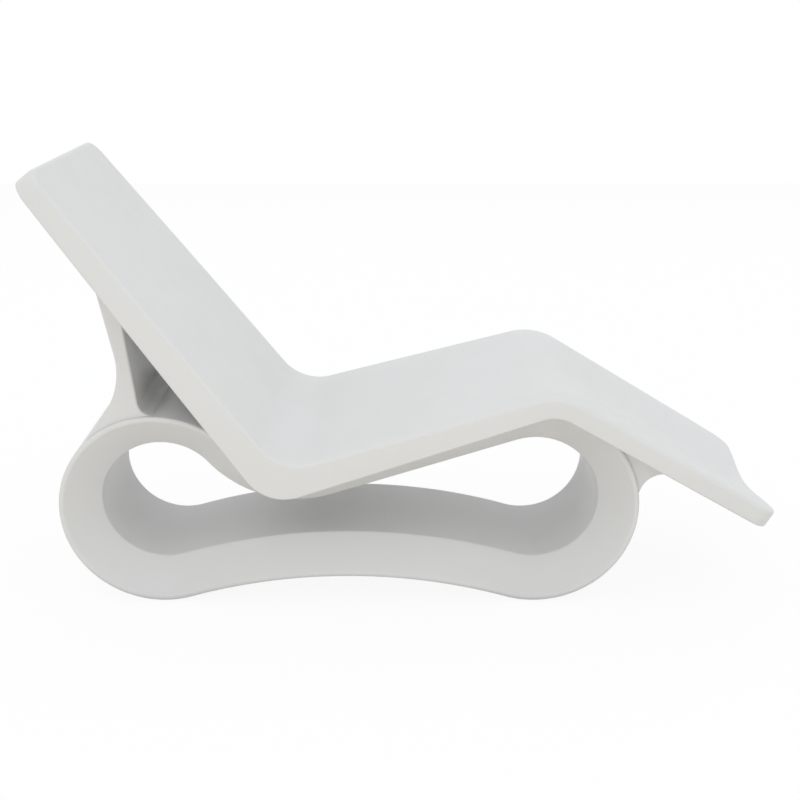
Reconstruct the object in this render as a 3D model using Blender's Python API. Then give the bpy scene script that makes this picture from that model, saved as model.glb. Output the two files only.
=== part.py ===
"""Sun lounger: a hollow moulded seat bolted to a hollow moulded loop that stands on the floor.

Frame: metres, +Z up, the floor at Z = 0, the head end toward -X, the foot end toward +X,
and the lounger's plane of symmetry at Y = 0.
"""
import math

import bmesh
import bpy
import numpy as np
from mathutils import Matrix, Vector

# Side view of the upper surface: back, seat and leg rest meet at the hip and knee corners
BACK_RUN = 0.788
SEAT_RUN = 0.607
LEG_RUN = 0.583
BACK_LEAN = math.radians(52.15)
SEAT_RISE = math.radians(15.38)
LEG_FALL = math.radians(30.65)
HIP_RADIUS = 0.111
KNEE_RADIUS = 0.142
UNDER_HIP_RADIUS = 0.100
UNDER_KNEE_RADIUS = 0.080

# Depth of the slab, square to its upper surface, at both ends of each run
HEAD_DEPTH = 0.0489
BACK_DEPTH = 0.0737
SEAT_DEPTH = 0.0683
KNEE_DEPTH = 0.0456
LEG_DEPTH = 0.0440
FOOT_DEPTH = 0.0440

# Plan of the slab: widest at the hip, narrower toward both ends, with rounded corners
HIP_WIDTH = 0.618
HEAD_WIDTH_SHARE = 0.84
FOOT_WIDTH_SHARE = 0.76
HEAD_TAPER_POWER = 1.35
FOOT_TAPER_POWER = 1.1
HEAD_CORNER = 0.040
FOOT_CORNER = 0.050

# Rounding of the slab's upper and lower edges, and of the edges of its hollow
EDGE_RADIUS = 0.009
UNDER_EDGE_RADIUS = 0.005
HOLLOW_EDGE_RADIUS = 0.006

# The upper surface is dished across its width, more toward the foot end
FOOT_DISH = 0.021
HIP_DISH = 0.004

# The loop: two lobes on the floor, a low crest between them, one depth all round
LOOP_DEPTH = 0.083
HEAD_LOBE_RADIUS = 0.1385
FOOT_LOBE_RADIUS = 0.1445
CREST_RADIUS = 1.35
CEILING_BEND_RADIUS = 0.26
LANDING_FALL = math.radians(30.0)
LOOP_WIDTH = 0.412
LOOP_THROAT_WIDTH = 0.280
RIM_RADIUS = 0.010
THROAT_RADIUS = 0.004

# Where loop and slab meet: the knee is set into the foot lobe, the back clears the head lobe
FOOT_LOBE_ADVANCE = 0.2735
KNEE_BITE = 0.0053
HEAD_LOBE_CLEARANCE = 0.0150

# The strut between the loop and the back: its sides' turns on the head lobe and their leans
STRUT_WIDTH = 0.394
STRUT_REAR_TURN = math.radians(43.5)
STRUT_REAR_RISE = math.radians(54.0)
STRUT_REAR_LEAN = math.radians(11.2)
STRUT_REAR_RUN = 0.156
STRUT_REAR_RADIUS = 0.17
STRUT_WINDOW_TURN = math.radians(-0.4)
STRUT_WINDOW_LEAN = math.radians(6.5)
STRUT_WINDOW_RADIUS = 0.03

# The gusset between the loop's foot lobe and the leg rest
GUSSET_WIDTH = 0.392
GUSSET_FILLET = 0.054
BLUNT = 0.0025

# Wall of the mouldings, and the gap left between pieces that touch
WALL = 0.006
GAP = 0.0003
OVERRUN = 0.004

# Bolted joints: flange bolt, steel sleeve, brass insert, and the moulded posts round them
BOLT_RADIUS = 0.004
GRIP_SHARE = 0.8
FLANGE_RADIUS = 0.010
FLANGE_HEIGHT = 0.0016
HEAD_RADIUS = 0.0068
HEAD_HEIGHT = 0.0056
SOCKET_RADIUS = 0.0029
SOCKET_DEPTH = 0.003
SLEEVE_WALL = 0.0017
INSERT_RADIUS = 0.007
INSERT_LENGTH = 0.020
POST_RADIUS = 0.0155
SPOT_RADIUS = 0.0125
SPOT_DEPTH = 0.007
SPOT_REACH = 0.030
SEAT_BOLT_SPREAD = 0.085
SEAT_BOLT_SHARES = (0.30, 0.86)
STRUT_BOLT_SPREAD = 0.110
STRUT_BOLT_SHARE = 0.51
BACK_BOLT_SPREAD = 0.120
BACK_BOLT_SHARE = 0.62
BACK_BOLT_DEPTH = 0.020
GUSSET_BOLT_SPREAD = 0.090
GUSSET_BOLT_FALL = math.radians(16.2)
GUSSET_INSERT_LENGTH = 0.014

# Floor pads under the lobes
STAND = 0.003
GLIDE_RADIUS = 0.022
GLIDE_HEIGHT = 0.009
GLIDE_EDGE = 0.002
GLIDE_SPREAD = 0.145
GLIDE_SCREW_RADIUS = 0.0022
GLIDE_SCREW_LENGTH = 0.016
GLIDE_HEAD_RADIUS = 0.0046
GLIDE_HEAD_HEIGHT = 0.0022
GLIDE_SINK = 0.0015
GLIDE_POST_RADIUS = 0.027
GLIDE_POST_RISE = 0.024

# Filling plugs of the two hollow mouldings
PLUG_RADIUS = 0.015
PLUG_LENGTH = 0.013
PLUG_CAP_RADIUS = 0.021
PLUG_CAP_HEIGHT = 0.003
PLUG_SLOT_RADIUS = 0.006
PLUG_SLOT_DEPTH = 0.0016
SEAT_PLUG_SHARE = 0.62
VENT_RADIUS = 0.004
VENT_LENGTH = 0.012

# Fineness of the curves
ARC_STEP = math.radians(8.0)
LOBE_STEP = math.radians(9.0)
CREST_PARTS = 8
LINE_PARTS = 5
EDGE_PARTS = 3
THROAT_PARTS = 2
ACROSS_PARTS = 6
COARSE_ACROSS_PARTS = 2
LANDING_PARTS = 2
SHARP_TURN = math.radians(30.0)
ROUND_PARTS = 12
PAD_PARTS = 24
FILLET_PARTS = 6
FINE_STEP = 0.0005

WHITE = (0.80, 0.80, 0.785, 1.0)
STEEL = (0.56, 0.57, 0.58, 1.0)
BRASS = (0.72, 0.53, 0.25, 1.0)
BLACK = (0.025, 0.025, 0.027, 1.0)


def clear_scene():
    """Remove everything from the scene."""
    for item in list(bpy.data.objects):
        bpy.data.objects.remove(item, do_unlink=True)


def finish(name, colour, roughness, metallic):
    """Make a Principled BSDF material."""
    material = bpy.data.materials.new(name)
    material.use_nodes = True
    shader = material.node_tree.nodes["Principled BSDF"]
    shader.inputs["Base Color"].default_value = colour
    shader.inputs["Roughness"].default_value = roughness
    shader.inputs["Metallic"].default_value = metallic
    return material


def solid(name, vertices, faces, material=None):
    """Make a closed body with its faces pointing out; without a material it is a cutter."""
    mesh = bpy.data.meshes.new(name)
    mesh.from_pydata([tuple(v) for v in vertices], [], [tuple(f) for f in faces])
    shaped = bmesh.new()
    shaped.from_mesh(mesh)
    bmesh.ops.recalc_face_normals(shaped, faces=shaped.faces)
    shaped.to_mesh(mesh)
    shaped.free()
    item = bpy.data.objects.new(name, mesh)
    bpy.context.scene.collection.objects.link(item)
    if material is None:
        item.hide_render = True
        item.display_type = "WIRE"
    else:
        mesh.materials.append(material)
        mesh.shade_smooth()
        mesh.set_sharp_from_angle(angle=SHARP_TURN)
    return item


def cut(item, cutter):
    """Take the cutter's volume out of a body."""
    step = item.modifiers.new(cutter.name, "BOOLEAN")
    step.operation = "DIFFERENCE"
    step.solver = "EXACT"
    step.object = cutter


def direction(angle):
    """Unit vector in the side view, its angle measured from +X toward +Z."""
    return np.array([math.cos(angle), math.sin(angle)])


def square_to(heading):
    """The heading turned a quarter to its left, in the side view."""
    return np.array([-heading[1], heading[0]])


def meeting(point, heading, other, other_heading):
    """Where two lines of the side view cross."""
    along = np.linalg.solve(np.column_stack([heading, -other_heading]), other - point)
    return point + heading * along[0]


def crossing(point, heading, centre, radius, sign):
    """Where a line crosses a circle: sign -1 for the first crossing, 1 for the second."""
    offset = point - centre
    lead = offset @ heading
    reach = math.sqrt(max(lead * lead - offset @ offset + radius * radius, 0))
    return point + heading * (sign * reach - lead)


def turn_of(vector):
    """Angle of a vector of the side view, from +X toward +Z."""
    return math.atan2(vector[1], vector[0])


def unit(vector):
    """The vector at a length of one."""
    return vector / np.linalg.norm(vector)


def arc(centre, radius, start, end, parts):
    """Points on an arc, both ends included."""
    turns = np.linspace(start, end, parts + 1)
    return centre + radius * np.column_stack([np.cos(turns), np.sin(turns)])


def line(start, end, parts):
    """Points on a straight run, both ends included."""
    return start + np.linspace(0, 1, parts + 1)[:, None] * (end - start)


def rounded_corner(corner, inward, outward, radius, parts):
    """Arc that rounds a corner between the heading that arrives and the one that leaves."""
    turn = math.atan2(inward[0] * outward[1] - inward[1] * outward[0], inward @ outward)
    side = math.copysign(1, turn)
    tangent = corner - inward * radius * math.tan(abs(turn) / 2)
    centre = tangent + square_to(inward) * radius * side
    start = turn_of(tangent - centre)
    return arc(centre, radius, start, start + turn, parts)


def shifted(points, distance):
    """Move an open line of points to its right, square to its own steps."""
    steps = np.diff(points, axis=0)
    steps /= np.linalg.norm(steps, axis=1)[:, None]
    normals = np.column_stack([steps[:, 1], -steps[:, 0]])
    before = np.vstack([normals[:1], normals])
    after = np.vstack([normals, normals[-1:]])
    return points + distance * (before + after) / (1 + np.sum(before * after, axis=1))[:, None]


def grid_faces(rows, columns, wrap_rows=False, wrap_columns=False):
    """Quads between the points of a grid that is stored row by row."""
    faces = []
    for row in range(rows if wrap_rows else rows - 1):
        for column in range(columns if wrap_columns else columns - 1):
            after = (column + 1) % columns
            below = (row + 1) % rows
            faces.append((row * columns + column, row * columns + after,
                          below * columns + after, below * columns + column))
    return faces


def prism(outline, width):
    """A closed outline of the side view carried across the width."""
    count = len(outline)
    vertices = [side_point(point, side * width / 2) for side in (-1, 1) for point in outline]
    faces = grid_faces(2, count, wrap_columns=True)
    faces.append(tuple(range(count)))
    faces.append(tuple(range(count, 2 * count)))
    return vertices, faces


def turned(profile, parts=ROUND_PARTS, hexagon_rings=()):
    """A profile of (radius, height) pairs turned about local Z; a zero radius closes on the axis."""
    vertices, rings = [], []
    for index, (radius, height) in enumerate(profile):
        if radius == 0:
            rings.append([len(vertices)])
            vertices.append((0, 0, height))
            continue
        ring = []
        for part in range(parts):
            turn = part / parts * math.tau
            reach = radius
            if index in hexagon_rings:
                sector = math.tau / 6
                reach = radius * math.cos(sector / 2) / math.cos(turn % sector - sector / 2)
            ring.append(len(vertices))
            vertices.append((reach * math.cos(turn), reach * math.sin(turn), height))
        rings.append(ring)
    if len(rings[0]) > 1:
        rings.append(rings[0])
    faces = []
    for lower, upper in zip(rings, rings[1:]):
        for part in range(parts):
            after = (part + 1) % parts
            corners = [lower[part % len(lower)], lower[after % len(lower)],
                       upper[after % len(upper)], upper[part % len(upper)]]
            faces.append(tuple(dict.fromkeys(corners)))
    return vertices, faces


def place(shape, origin, axis):
    """Stand a turned shape at a point, with its local Z along the axis."""
    vertices, faces = shape
    spin = Vector(axis).to_track_quat("Z", "Y").to_matrix().to_4x4()
    matrix = Matrix.Translation(Vector(origin)) @ spin
    return [tuple(matrix @ Vector(v)) for v in vertices], faces


def merge(shapes):
    """Put several separate shapes into one list of vertices and faces."""
    vertices, faces = [], []
    for points, polygons in shapes:
        start = len(vertices)
        vertices.extend(points)
        faces.extend(tuple(index + start for index in polygon) for polygon in polygons)
    return vertices, faces


def rod(origin, axis, start, end, radius, parts=ROUND_PARTS):
    """A round cutter between two heights along an axis."""
    return place(turned([(0, start), (radius, start), (radius, end), (0, end)], parts), origin, axis)


def side_point(point, across):
    """A point of the side view set at a distance across the width."""
    return (point[0], across, point[1])


def foot_lobe_centre():
    """Centre of the lobe under the knees, which stands on the floor pads."""
    return np.array([FOOT_LOBE_ADVANCE, STAND + LOOP_DEPTH + FOOT_LOBE_RADIUS])


def side_view():
    """The seat's lines in the side view, laid with the knee on the foot lobe."""
    back, seat, leg = direction(-BACK_LEAN), direction(SEAT_RISE), direction(-LEG_FALL)
    hip = np.zeros(2)
    knee = hip + seat * SEAT_RUN
    head = hip - back * BACK_RUN
    foot = knee + leg * LEG_RUN
    runs = []
    for start, end, heading, first, last in ((head, hip, back, HEAD_DEPTH, BACK_DEPTH),
                                             (hip, knee, seat, SEAT_DEPTH, KNEE_DEPTH),
                                             (knee, foot, leg, LEG_DEPTH, FOOT_DEPTH)):
        low_start = start - square_to(heading) * first
        low_end = end - square_to(heading) * last
        runs.append((low_start, low_end, unit(low_end - low_start)))
    headings = [run[2] for run in runs]
    under_hip = meeting(runs[0][0], headings[0], runs[1][0], headings[1])
    under_knee = meeting(runs[1][0], headings[1], runs[2][0], headings[2])
    reach = FOOT_LOBE_RADIUS + LOOP_DEPTH - KNEE_BITE
    nest = meeting(runs[1][0] - square_to(headings[1]) * reach, headings[1],
                   runs[2][0] - square_to(headings[2]) * reach, headings[2])
    lift = foot_lobe_centre() - nest
    parts = (round((BACK_LEAN + SEAT_RISE) / ARC_STEP), round((SEAT_RISE + LEG_FALL) / ARC_STEP))
    upper = lift + bent_line((head, hip, knee, foot), (back, seat, leg), (HIP_RADIUS, KNEE_RADIUS), parts)
    under = lift + bent_line((runs[0][0], under_hip, under_knee, runs[2][1]), headings,
                             (UNDER_HIP_RADIUS, UNDER_KNEE_RADIUS), parts)
    hip_end = LINE_PARTS + parts[0]
    return {"upper": upper, "under": under, "back": headings[0], "seat": headings[1], "leg": headings[2],
            "back_start": under[0], "back_end": under[LINE_PARTS],
            "seat_start": under[hip_end], "seat_end": under[hip_end + LINE_PARTS], "leg_end": under[-1]}


def bent_line(corners, headings, radii, parts):
    """A line from the head end to the foot end through two rounded corners."""
    head, hip, knee, foot = corners
    hip_arc = rounded_corner(hip, headings[0], headings[1], radii[0], parts[0])
    knee_arc = rounded_corner(knee, headings[1], headings[2], radii[1], parts[1])
    return np.vstack([line(head, hip_arc[0], LINE_PARTS)[:-1], hip_arc,
                      line(hip_arc[-1], knee_arc[0], LINE_PARTS)[1:-1], knee_arc,
                      line(knee_arc[-1], foot, LINE_PARTS)[1:]])


def half_width(travel):
    """Half the slab's width at a distance from the head end, measured on the upper surface."""
    rest = SEAT_RUN + LEG_RUN
    toward_head = max((BACK_RUN - travel) / BACK_RUN, 0) ** HEAD_TAPER_POWER
    toward_foot = max((travel - BACK_RUN) / rest, 0) ** FOOT_TAPER_POWER
    loss = (1 - HEAD_WIDTH_SHARE) * toward_head + (1 - FOOT_WIDTH_SHARE) * toward_foot
    return HIP_WIDTH / 2 * (1 - loss)


def dish(travel, across_share):
    """How far the upper surface sinks at a place, deepest at the middle of the width."""
    places = [0, BACK_RUN, BACK_RUN + SEAT_RUN + LEG_RUN]
    depth = np.interp(travel, places, [0, HIP_DISH, FOOT_DISH])
    return depth / 2 * (1 + math.cos(math.pi * min(abs(across_share), 1)))


def slab(side, inset, upper_edge, lower_edge, across):
    """The slab's closed surface, set in by inset, with the radii of its upper and lower edges."""
    upper, under = side["upper"], side["under"]
    travels = np.concatenate([[0], np.cumsum(np.linalg.norm(np.diff(upper, axis=0), axis=1))])
    whole = travels[-1]
    turns = np.linspace(0, math.pi / 2, EDGE_PARTS + 1)
    shares = np.linspace(-1, 1, across + 1)[1:-1]
    middle = [t for t in travels if HEAD_CORNER + EDGE_RADIUS < t < whole - FOOT_CORNER - EDGE_RADIUS]

    def surface_point(travel, reach, sink, on_top):
        """A point of the upper surface or of the underside, sunk into the slab."""
        top = np.array([np.interp(travel, travels, upper[:, axis]) for axis in (0, 1)])
        low = np.array([np.interp(travel, travels, under[:, axis]) for axis in (0, 1)])
        down = unit(low - top)
        if not on_top:
            return side_point(low - down * (inset + sink), reach)
        fall = dish(travel, reach / (half_width(travel) - EDGE_RADIUS))
        return side_point(top + down * (inset + sink + fall), reach)

    def flank(pull):
        """Travel and half width along one flank, head to foot, pulled in from the outline."""
        path = []
        for turn in turns:
            travel = HEAD_CORNER - (HEAD_CORNER - pull) * math.cos(turn)
            path.append((travel, half_width(travel) - HEAD_CORNER + (HEAD_CORNER - pull) * math.sin(turn)))
        path.extend((travel, half_width(travel) - pull) for travel in middle)
        for turn in turns[::-1]:
            travel = whole - FOOT_CORNER + (FOOT_CORNER - pull) * math.cos(turn)
            path.append((travel, half_width(travel) - FOOT_CORNER + (FOOT_CORNER - pull) * math.sin(turn)))
        return path

    def ring(pull, sink, on_top):
        """One closed ring of points round the slab."""
        path = flank(pull)
        trip = [(travel, -reach) for travel, reach in path]
        trip += [(path[-1][0], share * path[-1][1]) for share in shares]
        trip += [(travel, reach) for travel, reach in path[::-1]]
        trip += [(path[0][0], share * path[0][1]) for share in shares[::-1]]
        return [surface_point(travel, reach, sink, on_top) for travel, reach in trip]

    def level(edge, turn, on_top):
        """The ring at one turn round an edge."""
        return ring(inset + edge * (1 - math.cos(turn)), edge * (1 - math.sin(turn)), on_top)

    rings = [level(upper_edge, turn, True) for turn in turns[::-1]]
    rings += [level(lower_edge, turn, False) for turn in turns]
    count = len(rings[0])
    vertices = [point for each in rings for point in each]
    faces = grid_faces(len(rings), count, wrap_columns=True)
    for on_top, edge, base in ((True, upper_edge, 0), (False, lower_edge, (len(rings) - 1) * count)):
        path = flank(inset + edge)
        stations = len(path)
        field = []
        for row, (travel, reach) in enumerate(path):
            cells = [base + row]
            for step in range(1, across):
                if row == 0:
                    cells.append(base + count - step)
                elif row == stations - 1:
                    cells.append(base + stations - 1 + step)
                else:
                    cells.append(len(vertices))
                    vertices.append(surface_point(travel, reach * shares[step - 1], 0, on_top))
            cells.append(base + 2 * stations + across - 2 - row)
            field.append(cells)
        for upper_row, lower_row in zip(field, field[1:]):
            for step in range(across):
                faces.append((upper_row[step], upper_row[step + 1],
                              lower_row[step + 1], lower_row[step]))
    return vertices, faces


def loop_centres(side):
    """Centres of the two lobes, of the crest's arc below them and of the bend above them."""
    foot = foot_lobe_centre()
    reach = HEAD_LOBE_RADIUS + LOOP_DEPTH + HEAD_LOBE_CLEARANCE
    head = meeting(side["back_start"] - square_to(side["back"]) * reach, side["back"],
                   np.array([0, STAND + LOOP_DEPTH + HEAD_LOBE_RADIUS]), direction(0))
    apart = np.linalg.norm(foot - head)
    head_reach, foot_reach = CREST_RADIUS + HEAD_LOBE_RADIUS, CREST_RADIUS + FOOT_LOBE_RADIUS
    lead = (head_reach ** 2 - foot_reach ** 2 + apart ** 2) / (2 * apart)
    heading = unit(foot - head)
    crest = head + heading * lead - square_to(heading) * math.sqrt(head_reach ** 2 - lead ** 2)
    lifted = foot + square_to(side["seat"]) * (FOOT_LOBE_RADIUS + CEILING_BEND_RADIUS)
    bend = crossing(lifted, -side["seat"], head, HEAD_LOBE_RADIUS + CEILING_BEND_RADIUS, -1)
    return head, foot, crest, bend


def leave_point(side, reach):
    """Where a circle round the foot lobe's centre leaves the underside of the leg rest."""
    return crossing(side["leg_end"], -side["leg"], foot_lobe_centre(), reach, -1)


def loop_throat(side):
    """The loop's inner side as closely spaced points: two lobes, crest, bend and ceiling."""
    head, foot, crest, bend = loop_centres(side)
    ceiling_turn = turn_of(side["seat"])
    crest_at_foot, crest_at_head = turn_of(crest - foot), turn_of(crest - head)
    bend_at_head = turn_of(bend - head)
    pieces = []
    for centre, radius, start, end in (
            (foot, FOOT_LOBE_RADIUS, ceiling_turn + math.pi / 2, crest_at_foot),
            (crest, CREST_RADIUS, crest_at_foot + math.pi, crest_at_head + math.pi),
            (head, HEAD_LOBE_RADIUS, crest_at_head, bend_at_head - math.tau),
            (bend, CEILING_BEND_RADIUS, bend_at_head - math.pi, ceiling_turn - math.pi / 2)):
        pieces.append(arc(centre, radius, start, end, math.ceil(abs(end - start) * radius / FINE_STEP)))
    run = pieces[0][0] - pieces[-1][-1]
    pieces.append(line(pieces[-1][-1], pieces[0][0], math.ceil(np.linalg.norm(run) / FINE_STEP)))
    return np.vstack(pieces)


def loop_outlines(side):
    """Matching points of the loop's outer and inner sides, and the outer point under its crest."""
    head, foot, crest, _ = loop_centres(side)
    head_reach, foot_reach = HEAD_LOBE_RADIUS + LOOP_DEPTH, FOOT_LOBE_RADIUS + LOOP_DEPTH
    crest_at_foot, crest_at_head = turn_of(crest - foot), turn_of(crest - head)
    leave = leave_point(side, foot_reach)
    leave_turn = turn_of(leave - foot)
    top_turn = math.pi / 2 - LANDING_FALL - math.tau
    foot_arc = arc(foot, foot_reach, leave_turn, crest_at_foot,
                   round((leave_turn - crest_at_foot) / LOBE_STEP))
    crest_arc = arc(crest, CREST_RADIUS - LOOP_DEPTH, crest_at_foot + math.pi, crest_at_head + math.pi,
                    CREST_PARTS)
    head_arc = arc(head, head_reach, crest_at_head, top_turn, round((crest_at_head - top_turn) / LOBE_STEP))
    landing = meeting(head_arc[-1], direction(-LANDING_FALL), side["back_start"], side["back"])
    contact = [point for point in side["under"] if landing[0] < point[0] < leave[0]]
    contact = shifted(np.array([landing, *contact, leave]), GAP)
    landing_run = line(head_arc[-1], contact[0], LANDING_PARTS)
    outer = np.vstack([foot_arc[1:-1], crest_arc, head_arc[1:-1], landing_run[:-1], contact])
    throat = loop_throat(side)
    inner = np.array([throat[np.argmin(np.sum((throat - point) ** 2, axis=1))] for point in outer])
    return outer, inner, crest_arc[CREST_PARTS // 2]


def eased(corner, toward, away, size, parts):
    """A soft corner of a section: a curve between two points that stand size away from it."""
    start, end = corner + toward * size, corner + away * size
    return [(1 - t) ** 2 * start + 2 * t * (1 - t) * corner + t ** 2 * end
            for t in np.linspace(0, 1, parts + 1)]


def loop_body(outer, inner, inset):
    """The loop's closed surface: a slant-sided section carried all the way round."""
    half_rim, half_throat = LOOP_WIDTH / 2, LOOP_THROAT_WIDTH / 2
    along = np.array([0, 1])
    vertices = []
    for rim, throat in zip(outer, inner):
        depth = np.linalg.norm(rim - throat)
        outward = (rim - throat) / depth
        slant = unit(np.array([depth, half_rim - half_throat]))
        if inset:
            rise = inset * slant[1] / slant[0]
            pinch = inset / slant[0]
            half = [(inset, half_throat + rise - pinch), (depth - inset, half_rim - rise - pinch)]
        else:
            half = eased(np.array([0, half_throat]), -along, slant, THROAT_RADIUS, THROAT_PARTS)
            half += eased(np.array([depth, half_rim]), -slant, -along, RIM_RADIUS, EDGE_PARTS)
        section = [(height, reach) for height, reach in half]
        section += [(height, -reach) for height, reach in section[::-1]]
        vertices.extend(side_point(throat + outward * height, reach) for height, reach in section)
    columns = len(vertices) // len(outer)
    return vertices, grid_faces(len(outer), columns, wrap_rows=True, wrap_columns=True)


def lobe_nodes(outer, centre, reach, first, last, clearance):
    """The loop's own corner points between two turns of a lobe, moved out by a clearance."""
    found = []
    for point in outer:
        turn = turn_of(point - centre)
        if abs(np.linalg.norm(point - centre) - reach) < GAP / 2 and first < turn < last:
            found.append((turn, centre + (point - centre) * (1 + clearance / reach)))
    return [point for turn, point in sorted(found, key=lambda pair: pair[0])]


def strut_turns():
    """Turns on the head lobe that the strut stands between: its window side's and its rear side's."""
    return math.pi / 2 + STRUT_WINDOW_TURN, math.pi / 2 + STRUT_REAR_TURN


def strut_sides(side):
    """The strut's rear side going up, and its window side coming down."""
    head = loop_centres(side)[0]
    reach = HEAD_LOBE_RADIUS + LOOP_DEPTH + BLUNT
    top = side["back_start"] - square_to(side["back"]) * GAP
    window_out, rear_out = (direction(turn) for turn in strut_turns())
    rear_lean, window_lean = math.pi / 2 + STRUT_REAR_LEAN, math.pi / 2 + STRUT_WINDOW_LEAN
    rear_start = head + rear_out * reach
    rear_corner = rear_start + direction(STRUT_REAR_RISE) * STRUT_REAR_RUN
    rear_top = meeting(rear_corner, direction(rear_lean), top, side["back"])
    rear = rounded_corner(rear_corner, direction(STRUT_REAR_RISE), direction(rear_lean),
                          STRUT_REAR_RADIUS, round((rear_lean - STRUT_REAR_RISE) / ARC_STEP))
    rightward = -square_to(window_out)
    window_corner = head + window_out * reach - rightward * STRUT_WINDOW_RADIUS
    window_top = meeting(window_corner, direction(window_lean), top, side["back"])
    window = rounded_corner(window_corner, -direction(window_lean), rightward,
                            STRUT_WINDOW_RADIUS, FILLET_PARTS)
    return np.vstack([[rear_start], rear, [rear_top]]), np.vstack([[window_top], window])


def strut_outline(side, outer):
    """The strut's outline, its foot following the loop's head lobe."""
    head = loop_centres(side)[0]
    reach = HEAD_LOBE_RADIUS + LOOP_DEPTH
    rear, window = strut_sides(side)
    window_turn, rear_turn = strut_turns()
    foot = lobe_nodes(outer, head, reach, window_turn, rear_turn, GAP)
    first = head + direction(window_turn) * (reach + GAP)
    last = head + direction(rear_turn) * (reach + GAP)
    return np.vstack([rear, window, [first], *[[point] for point in foot], [last]])


def strut_hollow(side):
    """The outline of the space inside the strut's wall."""
    head = loop_centres(side)[0]
    reach = HEAD_LOBE_RADIUS + LOOP_DEPTH + WALL
    top = side["back_start"] - square_to(side["back"]) * (GAP + WALL)
    rear, window = (shifted(points, WALL) for points in strut_sides(side))
    rear[-1] = meeting(rear[-2], unit(rear[-1] - rear[-2]), top, side["back"])
    window[0] = meeting(window[1], unit(window[0] - window[1]), top, side["back"])
    kept_rear = [point for point in rear if np.linalg.norm(point - head) > reach]
    kept_window = [point for point in window if np.linalg.norm(point - head) > reach + WALL]
    start = crossing(kept_rear[0], unit(rear[0] - kept_rear[0]), head, reach, -1)
    first, last = turn_of(kept_window[-1] - head), turn_of(start - head)
    return np.vstack([kept_rear, kept_window, arc(head, reach, first, last, FILLET_PARTS)])


def gusset_outline(side, outer):
    """The gusset's outline, between the loop's foot lobe and the underside of the leg rest."""
    foot = loop_centres(side)[1]
    reach = FOOT_LOBE_RADIUS + LOOP_DEPTH
    under = square_to(side["leg"])
    leg_line = side["leg_end"] - under * GAP
    centre = crossing(leg_line - under * (GUSSET_FILLET + BLUNT + BLUNT), -side["leg"], foot,
                      reach + GUSSET_FILLET, -1)
    start = turn_of(foot - centre) % math.tau - math.sqrt(2 * BLUNT / GUSSET_FILLET)
    hollow = arc(centre, GUSSET_FILLET, start, turn_of(under), 2 * FILLET_PARTS)
    leg_end = meeting(hollow[-1], under, leg_line, side["leg"])
    low = foot + unit(hollow[0] - foot) * (reach + GAP)
    tip_turn = turn_of(leave_point(side, reach + BLUNT) - foot)
    tip = foot + direction(tip_turn) * (reach + GAP)
    tip_top = meeting(tip, direction(tip_turn), leg_line, side["leg"])
    nodes = lobe_nodes(outer, foot, reach, turn_of(low - foot), tip_turn, GAP)[::-1]
    return np.vstack([hollow, [leg_end], [tip_top], [tip], *[[point] for point in nodes], [low]])


def bolt_shape(depth, grip):
    """Flange bolt: local Z = 0 at the joint, its head beyond depth, its tip at -grip."""
    seat = depth + GAP
    top = seat + HEAD_HEIGHT
    return turned([(0, -grip), (BOLT_RADIUS, -grip), (BOLT_RADIUS, seat), (FLANGE_RADIUS, seat),
                   (FLANGE_RADIUS, seat + FLANGE_HEIGHT), (HEAD_RADIUS, seat + FLANGE_HEIGHT),
                   (HEAD_RADIUS, top), (SOCKET_RADIUS, top), (SOCKET_RADIUS, top - SOCKET_DEPTH),
                   (0, top - SOCKET_DEPTH)], hexagon_rings=(7, 8))


def sleeve_shape(depth):
    """Steel sleeve between the joint and the bolt's flange."""
    inner = BOLT_RADIUS + GAP
    outer = inner + SLEEVE_WALL
    return turned([(inner, 2 * GAP), (outer, 2 * GAP), (outer, depth - GAP), (inner, depth - GAP)])


def insert_shape(length):
    """Brass insert below the joint."""
    inner = BOLT_RADIUS + GAP
    bottom = -length - GAP
    return turned([(inner, bottom), (INSERT_RADIUS, bottom), (INSERT_RADIUS, -GAP), (inner, -GAP)])


def through_hole(depth):
    """Cutter for the piece that the bolt passes through: sleeve hole and spot face."""
    hole = BOLT_RADIUS + SLEEVE_WALL + 2 * GAP
    return turned([(0, -OVERRUN), (hole, -OVERRUN), (hole, depth), (SPOT_RADIUS, depth),
                   (SPOT_RADIUS, depth + SPOT_REACH), (0, depth + SPOT_REACH)])


def joint(name, number, origin, axis, depth, insert_length, looks):
    """Bolt, sleeve and insert of one joint, and the cutters for the two pieces that it joins."""
    grip = insert_length * GRIP_SHARE
    for kind, shape in (("bolt", bolt_shape(depth, grip)), ("sleeve", sleeve_shape(depth)),
                        ("insert", insert_shape(insert_length))):
        look = looks["brass"] if kind == "insert" else looks["steel"]
        solid(f"{name}_{kind}_{number}", *place(shape, origin, axis), look)
    pocket = insert_length + 2 * GAP
    return {
        "pocket": rod(origin, axis, -pocket, OVERRUN, INSERT_RADIUS + GAP),
        "boss": rod(origin, axis, -pocket - WALL, OVERRUN, POST_RADIUS),
        "hole": place(through_hole(depth), origin, axis),
        "post": rod(origin, axis, -OVERRUN, depth + SPOT_REACH, POST_RADIUS)}


def strut_bolt_axis():
    """Direction from the head lobe's centre to the bolts that hold the strut."""
    window_turn, rear_turn = strut_turns()
    return direction(window_turn + (rear_turn - window_turn) * STRUT_BOLT_SHARE)


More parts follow.
